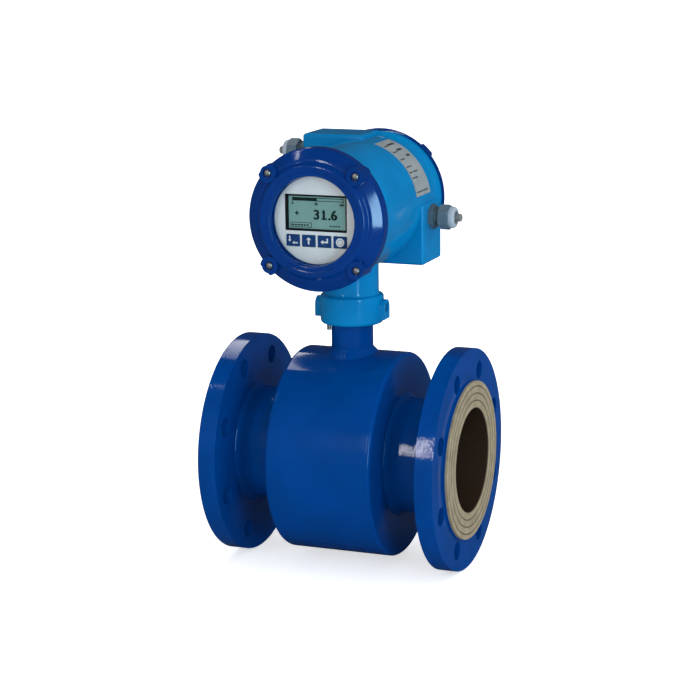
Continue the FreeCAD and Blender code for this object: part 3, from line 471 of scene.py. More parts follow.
# polyester foil printed pale grey, with a fine matt grain
foil = plain_finish("polyester_foil_grey", "e4eaec", "dce2e4", 0, 0.5, 0.5, 0.006, tone_mm=30)
bezel_black = plain_finish("abs_black_matt", "0b0d0f", "07090a", 0, 0.5, 0.6, 0.02, level=0.2)
lcd_green = plain_finish("lcd_polariser", "80aba5", "78a39d", 0, 0.32, 6, 0.004, tone_mm=30)
lcd_ink = plain_finish("lcd_segments", "082a26", "062420", 0, 0.4, 1.0, 0.002, level=0.2)
# embossed polyester over a dome switch, printed blue from behind
key_blue = plain_finish("polyester_key_blue", "0c407c", "0a3a72", 0, 0.38, 0.8, 0.008, level=0.2)
print_white = plain_finish("screen_print_white", "e6eaee", "dce1e6", 0, 0.5, 0.5, 0.002)
# metallised polyester, cut with a die and stuck round the barrel
label_silver = plain_finish("metallised_polyester_label", "9fa6a8", "92999c", 0.15, 0.5, 0.8, 0.008,
                            tone_mm=12)
label_line = plain_finish("thermal_print_grey", "42474a", "383d40", 0, 0.6, 0.5, 0.002)


# ---- sensor: flanges, liner, pipe
def flange_plate(name, side):
    """Forged flange, faced and drilled, its holes straddling the centre lines, under one coat."""
    rim_x = flange_out_x - RAISED_FACE_T
    profile = [(flange_in_x, PIPE_R + FIT_GAP), (flange_in_x, flange_r), (rim_x, flange_r)]
    profile += [(rim_x, RAISED_FACE_R), (flange_out_x, RAISED_FACE_R), (flange_out_x, PIPE_R + FIT_GAP)]
    profile += [profile[0]]
    plate = turned(name, "X", [(side * along, radius) for along, radius in profile], steps=240)
    drills = []
    for index in range(BOLT_COUNT):
        turn = math.radians((index + 0.5) * 360 / BOLT_COUNT)
        middle = (0, BOLT_CIRCLE_R * math.cos(turn), BOLT_CIRCLE_R * math.sin(turn))
        start, end = sorted((side * (flange_in_x - 5), side * (flange_out_x + 5)))
        drills.append(rod("drill", "X", BOLT_HOLE_R, start, end, middle, 48))
    cut_from(plate, *drills)
    return soften(plate, 1.3, 4)


def weld_fillet(wall_x, way):
    """Slightly full fillet weld in a corner; way says on which side of the wall it lies."""
    shape = ((1.0, 0.0), (0.96, 0.10), (0.84, 0.22), (0.66, 0.40), (0.46, 0.60), (0.28, 0.78), (0.12, 0.93),
             (0.0, 1.0))
    return [(wall_x + way * WELD_LEG * out, PIPE_R + WELD_LEG * up) for out, up in shape]


def pipe_with_welds():
    """Measuring pipe with its four fillet welds, each with the ripple that the torch leaves."""
    right = [(housing_half, PIPE_R)] + weld_fillet(housing_half, 1)[::-1]
    right += [(75, PIPE_R), (90, PIPE_R)]
    right += weld_fillet(flange_in_x, -1)
    right += [(flange_in_x, PIPE_R), (flange_out_x, PIPE_R), (flange_out_x, PIPE_BORE_R)]
    left = [(-along, radius) for along, radius in reversed(right)]
    pipe = turned("pipe_with_welds", "X", left + right + [left[0]], steps=200)
    for point in pipe.data.vertices:
        radius = math.hypot(point.co.y, point.co.z) / MM
        if radius > PIPE_R + 0.2:
            turn = math.atan2(point.co.z, point.co.y)
            ripple = 0.16 * math.sin(turn * 110) + 0.14 * math.sin(turn * 37 + 1.3)
            ripple += 0.12 * math.sin(turn * 13)
            scale = 1 + ripple * min(1, (radius - PIPE_R) / 2) / radius
            point.co.y *= scale
            point.co.z *= scale
    cut_from(pipe, rod("electrode_hole", "Y", 5.65, -70, 70, steps=48))
    return shade(tidy_mesh(pipe), 35)


def bore_liner():
    """Liner turned out over both raised faces, with sealing grooves cut in the faces."""
    right = [(flange_out_x, LINER_R), (flange_out_x, liner_flare_r), (half_length - 0.5, liner_flare_r)]
    right += arc(half_length - 0.5, liner_flare_r - 0.5, 0.5, 90, 0, 3)[1:]
    for radius in reversed(GROOVE_RADII):
        right += [(half_length, radius + 0.6), (half_length - 0.25, radius + 0.35)]
        right += [(half_length - 0.5, radius), (half_length - 0.25, radius - 0.35)]
        right += [(half_length, radius - 0.6)]
    right += arc(half_length - 1.6, BORE_R + 1.6, 1.6, 0, -90, 5)
    left = [(-along, radius) for along, radius in reversed(right)]
    liner = turned("bore_liner", "X", right + left + [right[0]], steps=200)
    cut_from(liner, rod("electrode_hole", "Y", 5.15, -52.3, 52.3, steps=48),
             rod("electrode_hole", "Y", 2.65, -70, 70, steps=48))
    return shade(tidy_mesh(liner), 25)


def coil_housing():
    """Rolled and welded drum, its ends dressed to a soft edge, hollow for the coils."""
    edge = 4.0
    inner_x = housing_half - HOUSING_END_T
    right = arc(housing_half - edge, housing_r - edge, edge, 90, 0, 8)
    hole_r = PIPE_R + FIT_GAP
    right += [(housing_half, hole_r), (inner_x, hole_r), (inner_x, housing_r - HOUSING_WALL)]
    left = [(-along, radius) for along, radius in reversed(right)]
    drum = turned("coil_housing", "X", left + right + [left[0]], steps=256)
    cut_from(drum, rod("neck_hole", "Z", NECK_R + FIT_GAP, 80, housing_r + 5, steps=96))
    return shade(tidy_mesh(drum), 40)


def neck_pipe():
    foot_z = span("neck_tube")[0].z
    groove_low, groove_high = LOCK_SCREW_Z - LOCK_GROOVE_HALF_W, LOCK_SCREW_Z + LOCK_GROOVE_HALF_W
    groove_r = NECK_R - LOCK_GROOVE_D
    profile = [(foot_z, NECK_BORE_R), (foot_z, NECK_R), (groove_low, NECK_R), (groove_low, groove_r)]
    profile += [(groove_high, groove_r), (groove_high, NECK_R), (neck_top_z, NECK_R)]
    profile += [(neck_top_z, NECK_BORE_R), profile[0]]
    return shade(turned("neck_pipe", "Z", profile, steps=128), 30)


def neck_weld():
    """Saddle weld round the foot of the neck, cut to the drum that it lies on."""
    top_z = housing_r + 5.2
    profile = [(92, NECK_R - 0.2), (92, NECK_R + 11.5), (housing_r - 6.2, NECK_R + 9.0)]
    for above, out in ((-2.5, 6.2), (-0.2, 4.6), (1.2, 3.3), (2.6, 1.9), (4.0, 0.8)):
        profile.append((housing_r + above, NECK_R + out))
    profile.append((top_z, NECK_R))
    bead = turned("neck_weld", "Z", profile + [(top_z, NECK_R - 0.2), profile[0]], steps=180)
    for point in bead.data.vertices:
        radius = math.hypot(point.co.x, point.co.y) / MM
        if radius > NECK_R + 0.3:
            turn = math.atan2(point.co.y, point.co.x)
            ripple = 0.22 * math.sin(turn * 46) + 0.2 * math.sin(turn * 17 + 0.7)
            point.co.z += ripple * MM * min(1, (radius - NECK_R) / 2)
    cut_from(bead, rod("drum", "X", housing_r, -60, 60, steps=256))
    return shade(tidy_mesh(bead), 40)


for side, side_name in ((1, "right"), (-1, "left")):
    plate = flange_plate("flange_plate_" + side_name, side)
    fitted(plate, navy, "sensor", "body_paint", "flange_" + side_name)
fitted(pipe_with_welds(), navy, "sensor", "body_paint", "measuring_tube")
fitted(bore_liner(), rubber, "sensor", "liner_rubber", "liner")
fitted(coil_housing(), drum_navy, "sensor", "body_paint", "housing_shell", "housing_end_left",
       "housing_end_right")
fitted(neck_pipe(), navy, "sensor", "body_paint", "neck_tube")
fitted(neck_weld(), navy, "sensor", "body_paint")


# ---- head: casting
def corner_block(name, side, front_y, height, inset, rear_y):
    """Block from the head's axis out to a squared corner, set in by a wall."""
    x_out = side * (CORNER_HALF_W - inset)
    z_out = head_z + height - math.copysign(inset, height)
    low = (min(0, x_out), front_y + inset, min(head_z, z_out))
    high = (max(0, x_out), rear_y, max(head_z, z_out))
    return block(name, low, high)


def lock_lug(side):
    """Arched lug of the collar, flat below."""
    start, end = sorted((0, side * LUG_REACH))
    lug = rod("lug", "X", LUG_R, start, end, (0, 0, LOCK_SCREW_Z), 64)
    half = LUG_R - 0.01
    low, high = (start + 0.01, -half, LOCK_SCREW_Z - LUG_DROP), (end - 0.01, half, LOCK_SCREW_Z)
    add_to(lug, block("lug_base", low, high))
    tidy_mesh(lug, 0.03)
    return bevelled(lug, 1.8, 4, limit_method="ANGLE", angle_limit=math.radians(50))


def head_casting():
    """Cast head: barrel, two squared corners, neck, collar and lugs, hollowed from both ends."""
    flare_end = back_y - REAR_FLANGE_T
    step_y = seat_y + FRONT_FLANGE_T
    profile = [(seat_y, 0), (seat_y, FRONT_FLANGE_R), (step_y, FRONT_FLANGE_R), (step_y, CASING_R)]
    for before, out in ((8, 0), (5.5, 0.2), (3.5, 0.8), (1.8, 1.7)):
        profile.append((flare_end - before, CASING_R + out))
    profile += [(flare_end, REAR_FLANGE_R), (back_y, REAR_FLANGE_R), (back_y, 0)]
    casting = turned("head_casting", "Y", profile, HEAD, 200)
    shoulder_z = collar_z + 28.6
    neck = [(collar_z, 0)] + arc(collar_z + 3.5, 27.9, 3.5, 180, 90, 6)
    neck += arc(shoulder_z - 2.6, 28.8, 2.6, 90, 12, 5) + [(shoulder_z, 28.9), (shoulder_z + 0.5, 27.6)]
    neck += [(shoulder_z + 1.6, 26.9), (shoulder_z + 3.4, 26.6), (192, 26.6), (192, 0)]
    boxes = []
    for name, (side, front_y, height) in CORNERS.items():
        box = corner_block("corner_" + name, side, front_y, height, 0, back_y - 0.03)
        boxes.append(bevelled(box, 3.2, 5))
    add_to(casting, *boxes, turned("neck", "Z", neck, steps=144), lock_lug(1), lock_lug(-1))
    bore = [rod("electronics_bore", "Y", CASING_BORE_R, seat_y - 1, PARTITION_Y[0], HEAD, 160),
            rod("wiring_bore", "Y", CASING_BORE_R, PARTITION_Y[1], back_y + 1, HEAD, 160),
            rod("collar_bore", "Z", NECK_R + 0.3, collar_z - 1, neck_top_z + 2, steps=96),
            rod("lead_bore", "Z", LEAD_BORE_R, neck_top_z, 200, steps=96)]
    for name, (side, front_y, height) in CORNERS.items():
        bore.append(corner_block("hollow_" + name, side, front_y, height, CORNER_WALL, back_y - CORNER_WALL))
    lock_holes = (("socket", 4.8, 32, 38, 48), ("screw_hole", 3.2, 15, 33, 32))
    for side in (-1, 1):
        for name, radius, inner, outer, steps in lock_holes:
            start, end = sorted((side * inner, side * outer))
            bore.append(rod(name, "X", radius, start, end, (0, 0, LOCK_SCREW_Z), steps))
    for side, along_y, above in GLANDS.values():
        start, end = sorted((side * 50, side * 70))
        bore.append(rod("gland_hole", "X", 9.45, start, end, (0, along_y, head_z + above), 48))
    cut_from(casting, *bore)
    return soften(casting, 1.5, 4)


fitted(head_casting(), sky, "head", "casing_paint", "casing")


# ---- head: covers
LAND_R = 9.0
EAR_R = 7.3
REAR_EAR_R = 2.0              # so small that the rear lands end at the rim
RIM_GAP = 0.06                # by which a land stays inside the rim


def land_reach(turn, circle_r, rim_r, root_r, ear_r):
    """How far a land reaches from its screw, for a turn measured from straight outwards."""
    out, across = math.cos(turn), abs(math.sin(turn))
    if out < 0:
        return min(LAND_R, (circle_r - root_r) / -out)
    to_rim = math.sqrt(rim_r ** 2 - (circle_r * across) ** 2) - circle_r * out
    return max(min(LAND_R, to_rim), ear_r)


def ear_reach(turn, ear_r):
    return ear_r if math.cos(turn) > 0.2 else min(ear_r, 3.0)


def screw_land(angle, circle_r, rim_r, root_r, land_y, foot_y, ear_y, ear_r):
    """Land for a cover screw: a rod pulled out to the land's outline, with an ear that runs on behind it."""
    profile = [(land_y, 0), (land_y, 2), (foot_y, 2), (foot_y, 1), (ear_y, 1), (ear_y, 0)]
    land = turned("land", "Y", profile, steps=112)
    place = on_circle(circle_r, angle) * MM
    for point in land.data.vertices:
        radius = math.hypot(point.co.x, point.co.z) / MM
        turn = math.atan2(point.co.z, point.co.x)
        if radius > 1.5:
            radius = land_reach(turn, circle_r, rim_r, root_r, ear_r)
        elif radius > 0.5:
            radius = ear_reach(turn, ear_r)
        else:
            radius = 0
        turn += math.radians(angle)
        reach = radius * MM
        point.co = (place.x + reach * math.cos(turn), point.co.y, place.z + reach * math.sin(turn))
    return tidy_mesh(land, 0.003)


def add_lands(cover, *outline):
    for angle in SCREW_ANGLES:
        add_to(cover, screw_land(angle, *outline))


def cut_screw_holes(cover, circle_r, pocket, hole):
    """Cut a pocket for each screw's head and a hole for its shank; each is given by its start and end."""
    for angle in SCREW_ANGLES:
        place = on_circle(circle_r, angle)
        cut_from(cover, rod("pocket", "Y", 4.5, *pocket, place, 40), rod("hole", "Y", 2.15, *hole, place, 24))


def front_cover_casting():
    """Cast cover: skirt, sloping ring with four screw lands, stepped ring and window opening."""
    skirt_y = seat_y + 10
    face = cover_face_y
    outline = [(skirt_y, cover_r - 1), (skirt_y, cover_r), (seat_y - 2.1, cover_r), (-99, 58.2), (-99, 56.2)]
    profile = [(skirt_y, 0)] + rounded(outline + [(face, 52.5), (face, 50)], 1.5) + [(face, 0)]
    cover = turned("front_cover_casting", "Y", profile, HEAD, 200)
    add_lands(cover, SCREW_CIRCLE_R, cover_r - RIM_GAP, 51.4, FRONT_LAND_Y, seat_y - 0.7, skirt_y - 0.04,
              EAR_R)
    room = [(face - 1, 0), (face - 1, 51.2), (face, 48.2), (face + 0.2, 47.6), (face + 0.7, 47.3)]
    room += [(face + 0.7, 43.9), (face + 0.95, 43.2), (face + 1.5, 42.7), (glass_low.y, 41.6)]
    room += [(glass_low.y, 48.15), (glass_high.y, 48.15), (glass_high.y, 54), (seat_y, 54), (seat_y, 66.2)]
    room += [(skirt_y + 1, 66.2), (skirt_y + 1, 0)]
    cut_from(cover, turned("room", "Y", room, HEAD, 200))
    cut_screw_holes(cover, SCREW_CIRCLE_R, (face - 2, FRONT_SCREW_SEAT), (FRONT_SCREW_SEAT - 1, seat_y + 1))
    return soften(cover, 0.7, 3)


def rear_cover_casting():
    """Blind cover in the style of the front one."""
    outline = [(back_y, rear_r - 1), (back_y, rear_r), (back_y + 3.5, rear_r), (92, 57.2), (92, 55.2)]
    outline += [(rear_face_y, 51.6), (rear_face_y, 49)]
    profile = [(back_y, 0)] + rounded(outline, 1.5) + [(rear_face_y, 0)]
    cover = turned("rear_cover_casting", "Y", profile, HEAD, 200)
    add_lands(cover, REAR_SCREW_CIRCLE_R, rear_r - RIM_GAP, 50.4, REAR_LAND_Y, back_y + 0.5, back_y + 0.04,
              REAR_EAR_R)
    cut_from(cover, rod("room", "Y", 54.2, back_y - 1, back_y + 7.5, HEAD, 160))
    cut_screw_holes(cover, REAR_SCREW_CIRCLE_R, (REAR_SCREW_SEAT, rear_face_y + 2),
                    (back_y - 1, REAR_SCREW_SEAT + 1))
    return soften(cover, 0.7, 3)


def domed_screw(seat, way, tip):
    """Round-headed screw about the head's axis; way is the side that its head looks to."""
    dome = [(seat + way * 2.4 * up, 3.3 * out) for up, out in
            ((0, 1), (0.3, 1), (0.52, 0.95), (0.72, 0.82), (0.88, 0.6), (0.97, 0.36), (1, 0.16), (1, 0))]
    screw = turned("screw", "Y", [(tip, 0), (tip, 1.7), (tip + way * 0.4, 2.0), (seat, 2.0)] + dome, HEAD, 40)
    place = Vector((0, seat + way * 3.1, head_z)) * MM
    socket = started("key_socket", bpy.ops.mesh.primitive_cylinder_add, vertices=6, radius=1.0 * MM,
                     depth=3 * MM, location=place, rotation=(math.pi / 2, 0, 0))
    return cut_from(screw, settle(socket))


def cover_screws(name, circle_r, seat, way, tip):
    """One screw modelled once and copied to the four lands, each copy with its own mesh."""
    first = domed_screw(seat, way, tip)
    tidy_mesh(first, 0.002)
    copies = []
    for angle in SCREW_ANGLES:
        screw = first.copy()
        screw.data = first.data.copy()
        bpy.context.scene.collection.objects.link(screw)
        screw.location = (on_circle(circle_r, angle) - HEAD) * MM
        copies.append(settle(screw))
    bpy.data.objects.remove(first)
    return shade(joined(name, copies), 40)


fitted(front_cover_casting(), cover_navy, "head", "cover_paint", "front_cover")
fitted(rear_cover_casting(), cover_navy, "head", "cover_paint", "rear_cover")
for name, circle_r, seat, way, tip in (("front_cover", SCREW_CIRCLE_R, FRONT_SCREW_SEAT, -1, -84),
                                       ("rear_cover", REAR_SCREW_CIRCLE_R, REAR_SCREW_SEAT, 1, 76)):
    screws = cover_screws(name + "_domed_screws", circle_r, seat, way, tip)
    fitted(screws, stainless, "head", "stainless", name + "_screws")
ring_low, ring_high = span("window_ring")
ring_profile = [(ring_low.y, 53.8), (ring_low.y, 41.7), (ring_low.y + 0.3, 41.4), (ring_high.y - 0.4, 41.4)]
ring_profile += [(ring_high.y, 41.8), (ring_high.y, 53.8), (ring_low.y, 53.8)]
ring = turned("window_retaining_ring", "Y", ring_profile, HEAD, 160)
fitted(shade(ring, 30), cover_navy, "head", "cover_paint", "window_ring")
glass_profile = [(glass_low.y, 0), (glass_low.y, 47.4), (glass_low.y + 0.6, 48), (glass_high.y - 0.6, 48)]
glass_profile += [(glass_high.y, 47.4), (glass_high.y, 0)]
glass = turned("window_pane", "Y", glass_profile, HEAD, 128)
fitted(shade(glass, 25), pane, "head", "window_glass", "window_glass")


# ---- head: display
def on_panel(across, up, y):
    """Point on the display side, across and up from the head's axis, in millimetres."""
    return Vector((across, y, head_z + up))


def slab(name, x0, x1, z0, z1, front_y, rear_y):
    return block(name, on_panel(x0, z0, front_y), on_panel(x1, z1, rear_y))


DISPLAY_LEFT = lcd_low.x + 0.4
DISPLAY_RIGHT = lcd_high.x
DISPLAY_FOOT = lcd_low.z - head_z + 0.8
DISPLAY_TOP = lcd_high.z - head_z - 0.4
KEY_INSET = 1.15               # from the CAD key's box, with its lip, to the cap's upper and lower edge


def display_plate():
    """Round plate with rounded cut-outs for the display and the keys."""
    front, rear = panel_low.y, panel_high.y
    plate = rod("display_plate", "Y", panel_high.x, front, rear, HEAD, 144)
    tools = [slab("lcd_hole", DISPLAY_LEFT - 0.15, DISPLAY_RIGHT + 0.15, DISPLAY_FOOT - 0.15,
                  DISPLAY_TOP + 0.15, front - 1, rear + 1)]
    for index in range(4):
        low, high = span("key_" + str(index + 1))
        hole = slab("key_hole", low.x + 0.5, high.x - 0.5, low.z - head_z + KEY_INSET - 0.3,
                    high.z - head_z - KEY_INSET + 0.3, front - 1, rear + 1)
        tools.append(bevelled(hole, 0.9, 4))
    for angle in SCREW_ANGLES:
        tools.append(rod("screw_hole", "Y", 1.65, front - 1, rear + 1, on_circle(47.2, angle), 24))
    cut_from(plate, *tools)
    return soften(plate, 0.18, 2)


LCD_SINK = 1.6
ink_y = lcd_low.y + LCD_SINK - 0.12


def lcd_field(name, front_y, rear_y, margin):
    """Block of the viewing field's outline, drawn in by a margin."""
    return slab(name, DISPLAY_LEFT + 2.8 + margin, DISPLAY_RIGHT - 1.2 - margin, DISPLAY_FOOT + 1.7 + margin,
                DISPLAY_TOP - 1.6 - margin, front_y, rear_y)


def lcd_frame():
    """Black frame of the display with its sunk viewing field."""
    case = slab("lcd_frame", DISPLAY_LEFT, DISPLAY_RIGHT, DISPLAY_FOOT, DISPLAY_TOP, lcd_low.y, lcd_high.y)
    pocket = lcd_field("field", lcd_low.y - 1, lcd_low.y + LCD_SINK, 0)
    cut_from(case, bevelled(pocket, 0.5, 3))
    return soften(case, 0.25, 2)


def lcd_glass():
    front = lcd_low.y + LCD_SINK - 0.08
    return soften(lcd_field("lcd_field", front, front + 0.06, 0.02), 0.02, 1)


def ink_bar(x0, x1, z0, z1):
    return slab("ink", x0, x1, z0, z1, ink_y, ink_y + 0.03)


def ink_frame(x0, x1, z0, z1, line):
    return [ink_bar(x0, x1, z0, z0 + line), ink_bar(x0, x1, z1 - line, z1),
            ink_bar(x0, x0 + line, z0, z1), ink_bar(x1 - line, x1, z0, z1)]


def figures(text, left, foot, height, bold):
    """Plain figures as a thin mesh facing the reader, drawn three times, a bold step apart."""
    drawn = []
    for index, shift in enumerate((-bold, 0, bold)):
        words = started("figures", bpy.ops.object.text_add)
        words.data.body = text
        words.data.size = height / 0.72 * MM
        words.data.offset = 0.6 * bold * MM
        words.data.extrude = 0.02 * MM
        pick(words)
        bpy.ops.object.convert(target="MESH")
        words = bpy.context.object
        words.rotation_euler = (math.pi / 2, 0, 0)
        words.location = on_panel(left + shift, foot, ink_y + 0.004 * index) * MM
        drawn.append(tidy_mesh(settle(words), 0.002))
    return joined("figures", drawn)


def lcd_drawing():
    """What the display shows: a bar graph with its scale, a sign, the reading and two rows of short bars."""
    parts = ink_frame(-24.8, 27.0, 17.5, 20.7, 0.6)
    parts.append(ink_bar(-24.7, 0.1, 17.7, 20.5))
    for mark in (-24.4, 0.0, 26.7):
        parts.append(ink_bar(mark - 0.3, mark + 0.3, 16.3, 17.5))
    for text, left in (("0", -25.3), ("50", -2.2), ("100", 22.6)):
        parts.append(figures(text, left, 13.8, 2.1, 0.14))
    parts += [ink_bar(-22.3, -18.2, 5.1, 6.3), ink_bar(-20.85, -19.65, 3.65, 7.75)]
    for sign, left in (("3", -3.5), ("1", 3.8), (".", 11.2), ("6", 14.1)):
        parts.append(figures(sign, left, 0.4, 9.2, 0.36))
    parts += [ink_bar(4.6, 10.1, 0.3, 1.7), ink_bar(5.2, 7.2, 6.5, 7.9)]
    parts += ink_frame(-26.8, -5.3, -7.7, -3.0, 0.55)
    parts += [ink_bar(-25.6 + 3.0 * index, -23.4 + 3.0 * index, -6.2, -4.8) for index in range(6)]
    parts += [ink_bar(12.6 + 2.9 * index, 14.6 + 2.9 * index, -6.2, -5.0) for index in range(4)]
    return shade(joined("lcd_drawing", parts), 20)


def arrow_head(across, up, half_width, length, degrees, front_y):
    """Three-cornered head of an arrow; at 0 degrees it points up."""
    head = started("arrow_head", bpy.ops.mesh.primitive_cylinder_add, vertices=3, radius=MM, depth=0.06 * MM,
                   location=(0, 0, 0))
    wide = Matrix.Diagonal((half_width / 0.866, length / 1.5, 1, 1))
    turn = Matrix.Rotation(math.radians(degrees), 4, "Y") @ Matrix.Rotation(math.pi / 2, 4, "X")
    head.matrix_world = Matrix.Translation(on_panel(across, up, front_y) * MM) @ turn @ wide
    return settle(head)


def key_cap(index):
    """Embossed key: a low pad with soft edges on the CAD key's place."""
    low, high = span("key_" + str(index))
    lip = 0.8
    cap = block("key_cap_" + str(index), (low.x + lip, low.y, low.z + KEY_INSET),
                (high.x - lip, high.y - lip, high.z - KEY_INSET))
    bevelled(cap, 0.4, 3)
    foot = block("foot", (low.x, high.y - lip - 0.05, low.z), (high.x, high.y, high.z))
    return shade(tidy_mesh(add_to(cap, foot)), 40)


def key_marks(index):
    """White print on a key: down and left, up, enter, and a ringed disc."""
    low, high = span("key_" + str(index))
    x, z, y = (low.x + high.x) / 2, (low.z + high.z) / 2 - head_z, low.y - 0.02

    def stroke(x0, x1, z0, z1):
        return slab("stroke", x + x0, x + x1, z + z0, z + z1, y - 0.03, y + 0.03)

    def head(across, up, half_width, length, degrees):
        return arrow_head(x + across, z + up, half_width, length, degrees, y)

    if index == 1:
        parts = [stroke(-3.9, -2.7, 0.2, 4.1), head(-3.3, -0.1, 1.7, 1.9, 180)]
        parts += [stroke(1.0, 4.7, -2.8, -1.6), head(0.7, -2.2, 1.7, 1.9, -90)]
    elif index == 2:
        parts = [stroke(-0.8, 0.8, -3.2, 1.3), head(0, 1.9, 2.6, 2.5, 0)]
    elif index == 3:
        parts = [stroke(-1.4, 3.8, -1.25, 0.25), stroke(2.3, 3.8, 0.2, 3.2), head(-2.0, -0.5, 2.1, 2.7, -90)]
    else:
        middle = on_panel(x, z, 0)
        disc = rod("disc", "Y", 4.2, y - 0.03, y + 0.03, middle, 48)
        parts = [cut_from(disc, rod("ring_gap", "Y", 2.7, y - 1, y + 1, middle, 40)),
                 rod("disc_middle", "Y", 2.4, y - 0.03, y + 0.03, middle, 40)]
    return shade(joined("key_marks_" + str(index), parts), 20)


fitted(display_plate(), foil, "head", "panel_plastic", "display_panel")
fitted(lcd_frame(), bezel_black, "head", "display_plastic", "lcd_module")
fitted(lcd_glass(), lcd_green, "head", "display_plastic")
fitted(lcd_drawing(), lcd_ink, "head", "display_plastic")
for index in (1, 2, 3, 4):
    body = "key_" + str(index)
    fitted(key_cap(index), key_blue, body, "key_plastic", body)
    fitted(key_marks(index), print_white, body, "key_plastic")


# ---- head: glands and label
def at_gland(piece, side, along_y, above):
    """Take a piece drawn along +X from the chamber's wall to its own gland."""
    turn = Matrix.Identity(4) if side > 0 else Matrix.Rotation(math.pi, 4, "Z")
    shift = Matrix.Translation(Vector((side * CORNER_HALF_W, along_y, head_z + above)) * MM)
    piece.matrix_world = shift @ turn
    return settle(piece)


def hexagon(name, flats, start, end):
    """Hexagon bar along X with flats facing up and down."""
    bar = started(name, bpy.ops.mesh.primitive_cylinder_add, vertices=6, radius=flats / math.sqrt(3) * MM,
                  depth=(end - start) * MM, location=((start + end) / 2 * MM, 0, 0),
                  rotation=(0, math.pi / 2, 0))
    with editing(settle(bar)):
        bpy.ops.transform.rotate(value=math.radians(30), orient_axis="X", center_override=(0, 0, 0))
    return bar


GLAND_FLATS = 22


def gland_flange(name):
    """Hexagon flange with turned corners, thread tail and threaded neck."""
    body = hexagon(name, GLAND_FLATS, 0, 5.2)
    corners = [(-1, 0), (-1, 11.2), (0.9, 12.7), (4.0, 12.7), (6.2, 10.6), (6.2, 0)]
    keep_within(body, turned("corners", "X", corners, steps=96))
    soften(body, 0.3, 2)
    neck = [(4.0, 7.0)]
    for index in range(4):
        start = 4.9 + 1.5 * index
        neck += [(start, 8.1), (start + 0.5, 8.6), (start + 0.75, 8.6), (start + 1.25, 8.1)]
    neck += [(16.8, 8.1), (16.8, 7.0), neck[0]]
    thread = turned("thread", "X", neck, steps=64)
    tail = [(0.5, 7.0), (0.5, 9.3), (-9, 9.3), (-9.5, 8.8), (-9.5, 7.0), (0.5, 7.0)]
    add_to(body, thread, turned("tail", "X", tail, steps=64))
    cut_from(body, rod("bore", "X", 6.4, -20, 30, steps=64))
    return shade(tidy_mesh(body), 30)


def gland_cap(name):
    """Hexagon of the cap nut with turned corners."""
    nut = hexagon(name, GLAND_FLATS, 9.9, 20.8)
    corners = [(9.4, 0), (9.4, 11.0), (10.9, 12.7), (19.2, 12.7), (21.4, 10.5), (21.4, 0)]
    keep_within(nut, turned("corners", "X", corners, steps=96))
    cut_from(nut, rod("thread_bore", "X", 8.75, 8, 17.2, steps=64), rod("mouth", "X", 5.6, 8, 31, steps=64))
    return soften(nut, 0.35, 3)


def gland_dome(name):
    """Round end of the cap nut, drawn in to an open mouth."""
    dome = [(20.4, 5.7), (20.4, 10.2), (20.8, 10.7), (21.4, 10.8), (23.2, 10.8), (24.2, 10.6), (25.0, 10.1)]
    dome += [(25.7, 9.3), (26.1, 8.5), (26.3, 7.7), (26.2, 6.9), (25.6, 6.5), (23.0, 6.3), (23.0, 5.7)]
    dome += [dome[0]]
    return shade(turned(name, "X", dome, steps=80), 40)


def plug_stub(name):
    """Blanking plug with a stepped end."""
    profile = [(13.4, 0), (13.4, 3.6), (28.6, 3.6), (28.9, 4.0), (30.7, 4.0), (31.1, 3.5), (31.7, 3.2)]
    profile += [(31.9, 2.7), (31.9, 0)]
    return shade(turned(name, "X", profile, steps=48), 30)


for side_name, (side, along_y, above) in GLANDS.items():
    for maker, name, material, slot, node in (
            (gland_flange, "gland_flange_", gland_grey_with_shade, "gland_plastic", "gland_body_"),
            (gland_cap, "gland_cap_", gland_mid, "gland_plastic", "gland_nut_"),
            (plug_stub, "plug_stub_", plug_white, "plug_plastic", "gland_plug_"),
            (gland_dome, "gland_dome_", gland_pale, "gland_plastic", None)):
        piece = at_gland(maker(name + side_name), side, along_y, above)
        fitted(piece, material, "head", slot, *([node + side_name] if node else []))


def curved_strip(name, radius, thickness, y0, y1, from_deg, to_deg):
    """Thin strip spun round the head's axis."""
    start = on_circle(radius, from_deg)
    strip = started(name, bpy.ops.mesh.primitive_plane_add, size=1,
                    location=Vector((start.x, (y0 + y1) / 2, start.z)) * MM)
    strip.scale = (thickness * MM, (y1 - y0) * MM, 1)
    strip.rotation_euler = (0, -math.radians(from_deg), 0)
    sweep = to_deg - from_deg
    with editing(settle(strip)):
        bpy.ops.mesh.spin(steps=max(3, int(sweep / 1.5)), angle=math.radians(sweep), center=HEAD * MM,
                          axis=(0, 1, 0))
        close_mesh(0.001)
    return strip


LABEL_R = 62.3
LABEL_FROM, LABEL_TO = 8, 73   # degrees up from +X about the head's axis
label = curved_strip("rating_label_plate", LABEL_R, 0.3, label_low.y, label_high.y, LABEL_FROM, LABEL_TO)
fitted(shade(label, 30), label_silver, "head", "label_metal", "rating_label")
rules = []
for degrees, deep, y0, y1 in (
        (11.4, 1.1, 20, 53), (24.6, 1.2, 21, 36), (30.2, 1.3, 21, 29), (30.2, 1.3, 31, 43),
        (36.0, 1.2, 21, 35), (44.5, 1.2, 21, 33), (46.5, 2.4, 43, 52), (54.0, 1.3, 22, 34),
        (55.0, 2.6, 36, 49), (63.5, 1.6, 22, 31), (64.0, 2.6, 33, 50)):
    rules.append(curved_strip("rule", LABEL_R + 0.17, 0.06, y0, y1, degrees, degrees + deep))
fitted(shade(joined("label_rules", rules), 30), label_line, "head", "label_metal")


